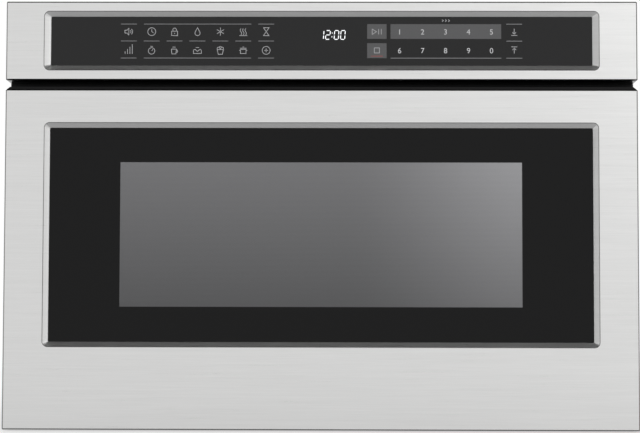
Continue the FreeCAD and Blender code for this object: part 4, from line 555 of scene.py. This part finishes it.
# Lines of each picture, in a square from -1 to 1 both ways.
ICONS = {
    "sound": [
        closed((-1, -0.35), (-0.5, -0.35), (0, -0.85), (0, 0.85), (-0.5, 0.35), (-1, 0.35)),
        arc(0.1, 0, 0.45, -50, 50), arc(0.1, 0, 0.85, -50, 50),
    ],
    "clock": [arc(0, 0, 1), [(0, 0.62), (0, 0), (0.42, -0.3)]],
    "lock": [
        closed((-0.75, -1), (0.75, -1), (0.75, 0.1), (-0.75, 0.1)),
        [(-0.45, 0.1), *arc(0, 0.45, 0.45, 180, 0), (0.45, 0.1)], bar(0, -0.3, -0.6),
    ],
    "drop": [closed((0, 1), *arc(0, -0.35, 0.65, 25, -205))],
    "flake": [spoke(degrees) for degrees in (90, 30, -30)],
    "heat": [upright_wave(x, 0.18) for x in (-0.6, 0, 0.6)] + [dash(-1, 1, -1)],
    "glass": [closed((-0.7, 1), (0.7, 1), (-0.7, -1), (0.7, -1))],
    "bars": [bar(x, -0.9, top) for x, top in ((-0.9, -0.3), (-0.3, 0.3), (0.3, 0.9), (0.9, 1.5))],
    "timer": [arc(0, -0.15, 0.82), [(0, -0.15), (0.35, 0.25)], dash(-0.3, 0.3, 1)],
    "cup": [
        [(-0.8, 0.3), (-0.65, -0.9), (0.35, -0.9), (0.5, 0.3), (-0.8, 0.3)],
        arc(0.45, -0.25, 0.35, -75, 75), bar(-0.35, 0.6, 1), bar(0.1, 0.6, 1),
    ],
    "soft": [
        closed((-1, -0.8), (1, -0.8), (1, 0), *reversed(wave(0.25, 1.5)[1:-1]), (-1, 0)),
        dash(-0.4, 0.4, 0.7),
    ],
    "bucket": [
        closed((-0.8, 0.2), (-0.5, -1), (0.5, -1), (0.8, 0.2)),
        arc(-0.45, 0.45, 0.35, 200, -20), arc(0.45, 0.45, 0.35, 200, -20),
        arc(0, 0.65, 0.35, 160, 20),
    ],
    "pot": [
        closed((-0.7, -0.8), (0.7, -0.8), (0.7, 0.25), (-0.7, 0.25)),
        dash(-1.05, -0.7, 0), dash(0.7, 1.05, 0), dash(-0.8, 0.8, 0.55), dash(-0.15, 0.15, 0.85),
    ],
    "plus": [arc(0, 0, 1), dash(-0.5, 0.5, 0), bar(0, -0.5, 0.5)],
    "start": [
        closed((-1.2, -0.7), (-1.2, 0.7), (-0.1, 0)), bar(0.45, -0.7, 0.7), bar(1.15, -0.7, 0.7),
    ],
    "stop": [closed((-0.6, -0.6), (0.6, -0.6), (0.6, 0.6), (-0.6, 0.6))],
    "open": [bar(0, 0.9, -0.7), [(-0.55, -0.15), (0, -0.7), (0.55, -0.15)], dash(-0.9, 0.9, -1.1)],
    "close": [bar(0, -0.9, 0.7), [(-0.55, 0.15), (0, 0.7), (0.55, 0.15)], dash(-0.9, 0.9, 1.1)],
    "quick": [[(x - 0.3, -0.5), (x + 0.3, 0), (x - 0.3, 0.5)] for x in (-1.4, 0, 1.4)],
}


def stroke(work, points, width):
    """Adds a thin solid line through points on the control glass, with mitred corners."""
    cyclic = math.dist(points[0], points[-1]) < TOUCHING
    places = [Vector(point) for point in (points[:-1] if cyclic else points)]
    count = len(places)
    steps = [(places[(index + 1) % count] - places[index]).normalized() for index in range(count)]
    sides = []
    for index in range(count):
        before = steps[index - 1] if cyclic or index else steps[0]
        after = steps[index] if cyclic or index < count - 1 else steps[index - 1]
        middle = (before + after).normalized()
        reach = width / 2 / max(MITRE_LIMIT, middle.dot(after))
        away = Vector((-middle.y, middle.x)) * reach
        sides.append((places[index] + away, places[index] - away))
    face, back = CONTROL_LOW.y - PRINT_DEPTH, CONTROL_LOW.y
    quads = []
    for left, right in sides:
        quads.append([
            work.verts.new((left.x, face, left.y)), work.verts.new((right.x, face, right.y)),
            work.verts.new((right.x, back, right.y)), work.verts.new((left.x, back, left.y)),
        ])
    if cyclic:
        quads.append(quads[0])
    else:
        work.faces.new(quads[0])
        work.faces.new(reversed(quads[-1]))
    bands(work, quads)


def drawn(name, lines, width, material):
    """One printed piece of many lines."""
    def build(work):
        for points in lines:
            stroke(work, points, width)

    finished(name, mesh_of(name, build), [MATERIALS[material]], "cabinet")


def icon(name, x, z, size=ICON_SIZE):
    return [[(x + size * across, z + size * up) for across, up in points] for points in ICONS[name]]


def key_lines():
    """The thin rules between the keys."""
    columns = [FIRST_COLUMN + COLUMN_PITCH * index for index in range(7)]
    lines = []
    for x in (columns[0], columns[-1], OPEN_COLUMN):
        lines += [dash(x - HALF_DASH, x + HALF_DASH, z) for z in LINE_ROWS]
    for z in (LINE_ROWS[0], LINE_ROWS[2]):
        lines.append(dash(columns[1] - HALF_DASH, columns[5] + HALF_DASH, z))
    lines += [dash(x - HALF_DASH, x + HALF_DASH, LINE_ROWS[1]) for x in columns[1:6]]
    lines.append(dash(DIGIT_BOX[0], DIGIT_BOX[1], LINE_ROWS[2]))
    drawn("key_lines", lines, LINE_WIDTH, "ink_dim")


def key_icons():
    """A plain picture for each key."""
    rows = (
        ("sound", "clock", "lock", "drop", "flake", "heat", "glass"),
        ("bars", "timer", "cup", "soft", "bucket", "pot", "plus"),
    )
    lines = []
    for z, names in zip(KEY_ROWS, rows):
        for index, name in enumerate(names):
            lines += icon(name, FIRST_COLUMN + COLUMN_PITCH * index, z)
    on_box, over_digits = sum(START_BOX[:2]) / 2, sum(DIGIT_BOX[:2]) / 2
    for name, x, z, size in (
        ("open", OPEN_COLUMN, KEY_ROWS[0], 3.6), ("close", OPEN_COLUMN, KEY_ROWS[1], 3.6),
        ("start", on_box, KEY_ROWS[0], 4.2), ("stop", on_box, KEY_ROWS[1], 4.6),
        ("quick", over_digits, QUICK_ROW, 2.4),
    ):
        lines += icon(name, x, z, size * MM)
    drawn("key_icons", lines, ICON_WIDTH, "ink")


def key_boxes():
    """The lighter fields behind the digits and behind the start and clear keys."""
    def build(work):
        for left, right, low, high in (DIGIT_BOX, START_BOX, CLEAR_BOX):
            stroke(work, dash(left, right, (low + high) / 2), high - low)

    mesh = mesh_of("key_boxes", build)
    for vertex in mesh.vertices:
        if vertex.co.y < CONTROL_LOW.y:
            vertex.co.y = CONTROL_LOW.y - FIELD_DEPTH
    finished("key_boxes", mesh, [MATERIALS["key_field"]], "cabinet")
    left, right, low, _ = CLEAR_BOX
    drawn("off_mark", [dash(left + OFF_INSET, right - OFF_INSET, low + OFF_RISE)], OFF_WIDTH, "ink_red")


def key_digits():
    """The ten number keys."""
    made = []
    for row, digits in enumerate(("12345", "67890")):
        for index, digit in enumerate(digits):
            text = bpy.data.curves.new(f"digit_{digit}", "FONT")
            text.body = digit
            text.align_x = "CENTER"
            text.size = DIGIT_HEIGHT / CAPITAL_SHARE
            text.extrude = PRINT_DEPTH / 2
            holder = bpy.data.objects.new(f"digit_{digit}", text)
            bpy.context.scene.collection.objects.link(holder)
            across, up = FIRST_DIGIT + COLUMN_PITCH * index, KEY_ROWS[row] - DIGIT_HEIGHT / 2
            place = Matrix.Translation((across, CONTROL_LOW.y - PRINT_DEPTH / 2, up))
            holder.matrix_world = place @ Matrix.Rotation(math.radians(90), 4, "X")
            made.append(holder)
    bpy.context.view_layer.update()
    depsgraph = bpy.context.evaluated_depsgraph_get()
    work = bmesh.new()
    for holder in made:
        mesh = bpy.data.meshes.new_from_object(holder.evaluated_get(depsgraph))
        mesh.transform(holder.matrix_world)
        work.from_mesh(mesh)
        bpy.data.meshes.remove(mesh)
    bmesh.ops.remove_doubles(work, verts=work.verts, dist=TOUCHING)
    mesh = bpy.data.meshes.new("key_digits")
    work.to_mesh(mesh)
    work.free()
    for holder in made:
        bpy.data.objects.remove(holder)
    finished("key_digits", mesh, [MATERIALS["ink_bright"]], "cabinet")


CLOCK_LEFT, CLOCK_LOW = -2.4 * MM, 423.2 * MM
CLOCK_DIGIT = (4.6 * MM, 9.6 * MM)
CLOCK_PITCH = 6.9 * MM
CLOCK_LEAN = 0.08
CLOCK_STROKE = 0.85 * MM
# Places of the four digits and the colon in pitches; the colon's dots in shares of the height.
CLOCK_PLACES, COLON_PLACE = (0, 1, 2.35, 3.35), 1.98
COLON_DOTS, DOT_HALF = (0.28, 0.72), 0.05
SEGMENTS = {
    "top": ((0.12, 1), (0.88, 1)),
    "middle": ((0.12, 0.5), (0.88, 0.5)),
    "bottom": ((0.12, 0), (0.88, 0)),
    "upper_left": ((0, 0.57), (0, 0.94)), "upper_right": ((1, 0.57), (1, 0.94)),
    "lower_left": ((0, 0.06), (0, 0.43)), "lower_right": ((1, 0.06), (1, 0.43)),
}
DIGITS = {
    "1": ("upper_right", "lower_right"),
    "2": ("top", "upper_right", "middle", "lower_left", "bottom"),
    "0": ("top", "upper_right", "lower_right", "bottom", "lower_left", "upper_left"),
}


def clock():
    """The lit clock, at twelve."""
    width, height = CLOCK_DIGIT

    def place(left, across, up):
        return (left + width * across + CLOCK_LEAN * height * up, CLOCK_LOW + height * up)

    lines = []
    for position, digit in zip(CLOCK_PLACES, "1200"):
        left = CLOCK_LEFT + CLOCK_PITCH * position
        for name in DIGITS[digit]:
            lines.append([place(left, *end) for end in SEGMENTS[name]])
    colon = CLOCK_LEFT + CLOCK_PITCH * COLON_PLACE
    for up in COLON_DOTS:
        lines.append([place(colon, 0, up - DOT_HALF), place(colon, 0, up + DOT_HALF)])
    drawn("clock_digits", lines, CLOCK_STROKE, "lit")


# ---------------------------------------------------------------------------------------------
# Tray
# ---------------------------------------------------------------------------------------------
def tray():
    """The glass tray with its raised, rounded rim."""
    low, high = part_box("glass_tray")
    centre = (low + high) / 2
    half_x, half_y, thickness = (high.x - low.x) / 2, (high.y - low.y) / 2, high.z - low.z

    def outline(inset, height, radius):
        points = []
        corners = ((1, -1, -90), (1, 1, 0), (-1, 1, 90), (-1, -1, 180))
        for side_x, side_y, start in corners:
            for step in range(TRAY_CORNER_STEPS + 1):
                angle = math.radians(start + 90 * step / TRAY_CORNER_STEPS)
                points.append(Vector((
                    centre.x + side_x * (half_x - inset - radius) + radius * math.cos(angle),
                    centre.y + side_y * (half_y - inset - radius) + radius * math.sin(angle),
                    low.z + height,
                )))
        return points

    # Inset, height, and corner radius in millimetres, from the foot over the rim to the dish.
    edge = 1.2 * MM
    profile = [
        (edge, 0, 12.8), (0.3 * MM, 0.4 * MM, 13.6), (0, edge, 14), (0, thickness - edge, 14),
        (0.4 * MM, thickness - 0.35 * MM, 13.6), (edge, thickness, 12.8), (6 * MM, thickness, 10),
        (7.2 * MM, thickness - 0.3 * MM, 9.2), (9.6 * MM, thickness - 1.4 * MM, 7.6),
        (11 * MM, thickness - 1.5 * MM, 7),
    ]
    rings = [outline(inset, height, radius * MM) for inset, height, radius in profile]

    def build(work):
        loops = loops_of(work, rings)
        bands(work, loops)
        work.faces.new(loops[0])
        work.faces.new(loops[-1])

    materials = [MATERIALS["tray_ceramic"]]
    piece = finished("tray_dish", mesh_of("tray_dish", build), materials, "drawer")
    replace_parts(piece, "glass_tray")


# ---------------------------------------------------------------------------------------------
# Stage
# ---------------------------------------------------------------------------------------------
CAMERA_PLACE = Vector((26.5, -2459.4, 94.1)) * MM
CAMERA_YAW, CAMERA_PITCH, CAMERA_ROLL = (math.radians(angle) for angle in (-0.731, 3.639, 0.136))
FOCAL_PIXELS, PHOTO_WIDTH, SENSOR = 2000, 640, 36
WHITE = (1, 1, 1, 1)
SKY_LEVEL = 0.6
FLOOR_HALF = 8
# The floor's painted shade: darker near the object than away from it, and the distances between which
# it changes.
FLOOR_PAINTED_SHADE = ((0.6, 0.6, 0.6), (0.86, 0.86, 0.86))
FLOOR_EDGE = (0.42, 0.75)
# Distances, and the share of white that is mixed into the floor there.
HAZE_NEAR, HAZE_FAR = (0.75, 0.6), (5, 1)


def camera():
    """The photograph's viewpoint: low in front of the drawer, looking slightly up."""
    lens = bpy.data.cameras.new("camera")
    lens.sensor_width = SENSOR
    lens.lens = SENSOR * FOCAL_PIXELS / PHOTO_WIDTH
    lens.clip_start, lens.clip_end = 0.05, 50
    holder = bpy.data.objects.new("camera", lens)
    bpy.context.scene.collection.objects.link(holder)
    forward = Vector((
        math.sin(CAMERA_YAW) * math.cos(CAMERA_PITCH), math.cos(CAMERA_YAW) * math.cos(CAMERA_PITCH),
        math.sin(CAMERA_PITCH),
    ))
    level = forward.cross(Vector((0, 0, 1))).normalized()
    upward = level.cross(forward)
    right = level * math.cos(CAMERA_ROLL) + upward * math.sin(CAMERA_ROLL)
    top = right.cross(forward)
    turned = Matrix((right, top, -forward)).transposed().to_4x4()
    holder.matrix_world = Matrix.Translation(CAMERA_PLACE) @ turned
    bpy.context.scene.camera = holder


# Each lamp's place, what it aims at, its width and height, and its power in watts.
LAMPS = {
    "key": ((1.7, -2.0, 1.3), (0, -0.3, 0.25), (2.2, 1.8), 15),
    "fill": ((-2.0, -1.6, 0.9), (0, -0.2, 0.25), (1.6, 1.4), 6),
    "back": ((-0.6, 2.6, 1.8), (0, 0.2, 0.2), (2.0, 1.2), 24),
    "low": ((0.6, -1.6, 1.5), (0.5, -1.2, 0), (1.6, 1.0), 11),
}
# One card hangs over the drawer and one stands to its left.
FLAGS = {
    "flag_above": ((-1.5, -0.8, 1.1), (1.5, -0.8, 1.1), (1.5, 1.6, 1.1), (-1.5, 1.6, 1.1)),
    "flag_left": ((-2.0, -1.15, -0.2), (-2.0, -0.8, -0.2), (-2.0, -0.8, 1.2), (-2.0, -1.15, 1.2)),
}


def lights():
    """Softboxes round the object."""
    for name, (place, target, size, power) in LAMPS.items():
        lamp = bpy.data.lights.new(name, "AREA")
        lamp.shape = "RECTANGLE"
        lamp.size, lamp.size_y = size
        lamp.energy = power
        holder = bpy.data.objects.new(name, lamp)
        bpy.context.scene.collection.objects.link(holder)
        holder.location = place
        aim = Vector(target) - Vector(place)
        holder.rotation_euler = aim.to_track_quat("-Z", "Y").to_euler()


def sheet(name, corners):
    """A flat stage object of one face."""
    def build(work):
        work.faces.new([work.verts.new(corner) for corner in corners])

    card = bpy.data.objects.new(name, mesh_of(name, build))
    bpy.context.scene.collection.objects.link(card)
    return card


def flags():
    """Black cards that only reflections see, so that folded edges read darker than faces."""
    for name, corners in FLAGS.items():
        card = sheet(name, corners)
        card.data.materials.append(moulded(name, (0.02, 0.02, 0.02), 0.9, 0.0))
        card.visible_camera = card.visible_diffuse = card.visible_shadow = False


def shown_rays(node):
    """1 for what the camera sees, straight, in a reflection or through glass, and 0 for light."""
    rays = node("ShaderNodeLightPath").outputs
    shown = rays["Is Camera Ray"]
    for kind in ("Is Glossy Ray", "Is Transmission Ray"):
        shown = node("ShaderNodeMath", {0: shown, 1: rays[kind]}, operation="MAXIMUM").outputs[0]
    return shown


def world():
    """White to the camera and in reflections, and a plain even light on the object."""
    sky = bpy.data.worlds.new("studio")
    bpy.context.scene.world = sky
    sky.use_nodes = True
    tree = sky.node_tree
    tree.nodes.clear()

    def node(kind, inputs=(), **settings):
        return add_node(tree, kind, inputs, **settings)

    light = node("ShaderNodeBackground", {0: WHITE, 1: SKY_LEVEL}).outputs[0]
    white = node("ShaderNodeBackground", {0: WHITE, 1: 1.0}).outputs[0]
    choice = node("ShaderNodeMixShader", {0: shown_rays(node), 1: light, 2: white})
    node("ShaderNodeOutputWorld", {0: choice.outputs[0]})


def floor():
    """A pale floor that keeps the object's shadow, with painted shade that makes it darker round the
    object, and that goes over into white.
    """
    low, high = -FLOOR_HALF, FLOOR_HALF
    plane = sheet("floor", ((low, low, 0), (high, low, 0), (high, high, 0), (low, high, 0)))
    finish = Finish("floor", (0.8, 0.8, 0.8), 0.7)
    away = finish.node("ShaderNodeVectorMath", {0: finish.place}, operation="LENGTH").outputs["Value"]
    # Painted shade: the floor is darker near the object.
    finish.tint(away, *FLOOR_PAINTED_SHADE, reach=FLOOR_EDGE)
    (near, least), (far, most) = HAZE_NEAR, HAZE_FAR
    haze = finish.math("MULTIPLY", shown_rays(finish.node), finish.span(away, near, far, least, most))
    white = finish.node("ShaderNodeEmission", {0: WHITE, 1: 1.0}).outputs[0]
    paler = finish.node("ShaderNodeMixShader", {0: haze, 1: finish.shader.outputs[0], 2: white})
    output = finish.tree.nodes["Material Output"]
    finish.tree.links.new(paler.outputs[0], output.inputs["Surface"])
    plane.data.materials.append(finish.material)


# ---------------------------------------------------------------------------------------------
# The whole
# ---------------------------------------------------------------------------------------------
MATERIALS = {
    "stainless": brushed_steel("stainless", (0.66, 0.66, 0.655)),
    # Painted shade: a darker copy of the stainless steel for the bevel faces that face down.
    "bevel_painted_shade": brushed_steel("bevel_painted_shade", (0.44, 0.44, 0.44)),
    # Painted shade: the darker steel of the folds, the rim lines and the bottom faces.
    "fold_painted_shade": fold_painted_shade(),
    "black_glass": black_glass("black_glass", 0.003, 0.16),
    "control_glass": black_glass("control_glass", 0.006, 0.3),
    "window_screen": window_screen(),
    "clear_glass": inner_pane(),
    "black_plastic": moulded("black_plastic", (0.018, 0.018, 0.019), 0.45),
    "cap_black": moulded("cap_black", (0.004, 0.004, 0.0042), 0.5, 0.12),
    "grey_plastic": moulded("grey_plastic", (0.3, 0.31, 0.32), 0.5),
    "white_plastic": moulded("white_plastic", (0.76, 0.76, 0.74), 0.45),
    "black_enamel": enamel("black_enamel", (0.006, 0.006, 0.0065), 0.4, 0.15, 0.05),
    "cavity_paint": enamel("cavity_paint", (0.5, 0.51, 0.52), 0.38, 0.35),
    "zinc_sheet": zinc_sheet(),
    "screen": perforated_screen(),
    "tray_ceramic": tray_glass(),
    "aluminium_parts": pressed_metal("aluminium_parts", (0.72, 0.72, 0.73), 0.35),
    "screw_steel": pressed_metal("screw_steel", (0.56, 0.56, 0.55), 0.3),
    "laminated_core": laminations(),
    "circuit": circuit(),
    "gear_nylon": nylon(),
    "ink_dim": printed("ink_dim", (0.16, 0.16, 0.165)),
    "ink": printed("ink", (0.36, 0.36, 0.37)),
    "ink_bright": printed("ink_bright", (0.5, 0.5, 0.51)),
    "ink_red": printed("ink_red", (0.3, 0.05, 0.04)),
    "key_field": printed("key_field", (0.06, 0.06, 0.062)),
    "lit": printed("lit", (0.85, 0.86, 0.88), glow=0.5),
}


# Nodes with rounded edges, and the width of the rounding in millimetres.
EASED_NODES = {
    "outer_case": 0.7, "rear_cover": 0.25, "front_frame": 0.4, "base_skids": 0.6, "cord_gland": 0.4,
    "door_top_cap": 0.5, "door_chassis": 0.6, "choke_cover": 0.5, "latch_hooks": 0.5,
    "tub_side_left": 0.45, "tub_side_right": 0.45, "tub_rear_wall": 0.45,
    "slide_cabinet_left": 0.3, "slide_cabinet_right": 0.3, "slide_middle_left": 0.3,
    "slide_middle_right": 0.3, "slide_drawer_left": 0.3, "slide_drawer_right": 0.3,
    "drawer_bracket_left": 0.4, "drawer_bracket_right": 0.4, "drive_gearbox": 0.8,
    "power_transformer": 0.5, "case_screws": 0.2, "door_screws": 0.2,
}


def ease_edges(node, width):
    """Rounds a node's edges a little, so that they catch the light."""
    rounding = node.modifiers.new("eased", "BEVEL")
    rounding.width = width * MM
    rounding.segments = 2
    rounding.limit_method = "ANGLE"
    rounding.angle_limit = EASED_ANGLE
    rounding.harden_normals = True


def dress_nodes():
    """Gives each node the finish of its slot in the record, and eases the edges that show."""
    for part in frame["record"]["subparts"]:
        node = NODES[part["node"]]
        node.data.materials.clear()
        node.data.materials.append(MATERIALS[part["material_slot"]])
        if part["node"] in EASED_NODES:
            ease_edges(node, EASED_NODES[part["node"]])
    NODES["control_glass"].data.materials[0] = MATERIALS["control_glass"]
    NODES["door_top_cap"].data.materials[0] = MATERIALS["cap_black"]


def main():
    bpy.context.scene.view_settings.view_transform = "Standard"
    dress_nodes()
    steel_front(
        "door_front", "door_skin", (SKIN_LOW, SKIN_HIGH), DOOR_RECESS, DOOR_OPENING,
        DOOR_BEVEL, "drawer",
    )
    steel_front(
        "panel_front", "control_panel_bezel", (PANEL_LOW, PANEL_HIGH), PANEL_RECESS, PANEL_OPENING,
        PANEL_BEVEL, "cabinet",
    )
    door_pane()
    key_lines()
    key_icons()
    key_boxes()
    key_digits()
    clock()
    tray()
    floor()
    flags()
    world()
    lights()
    camera()


main()
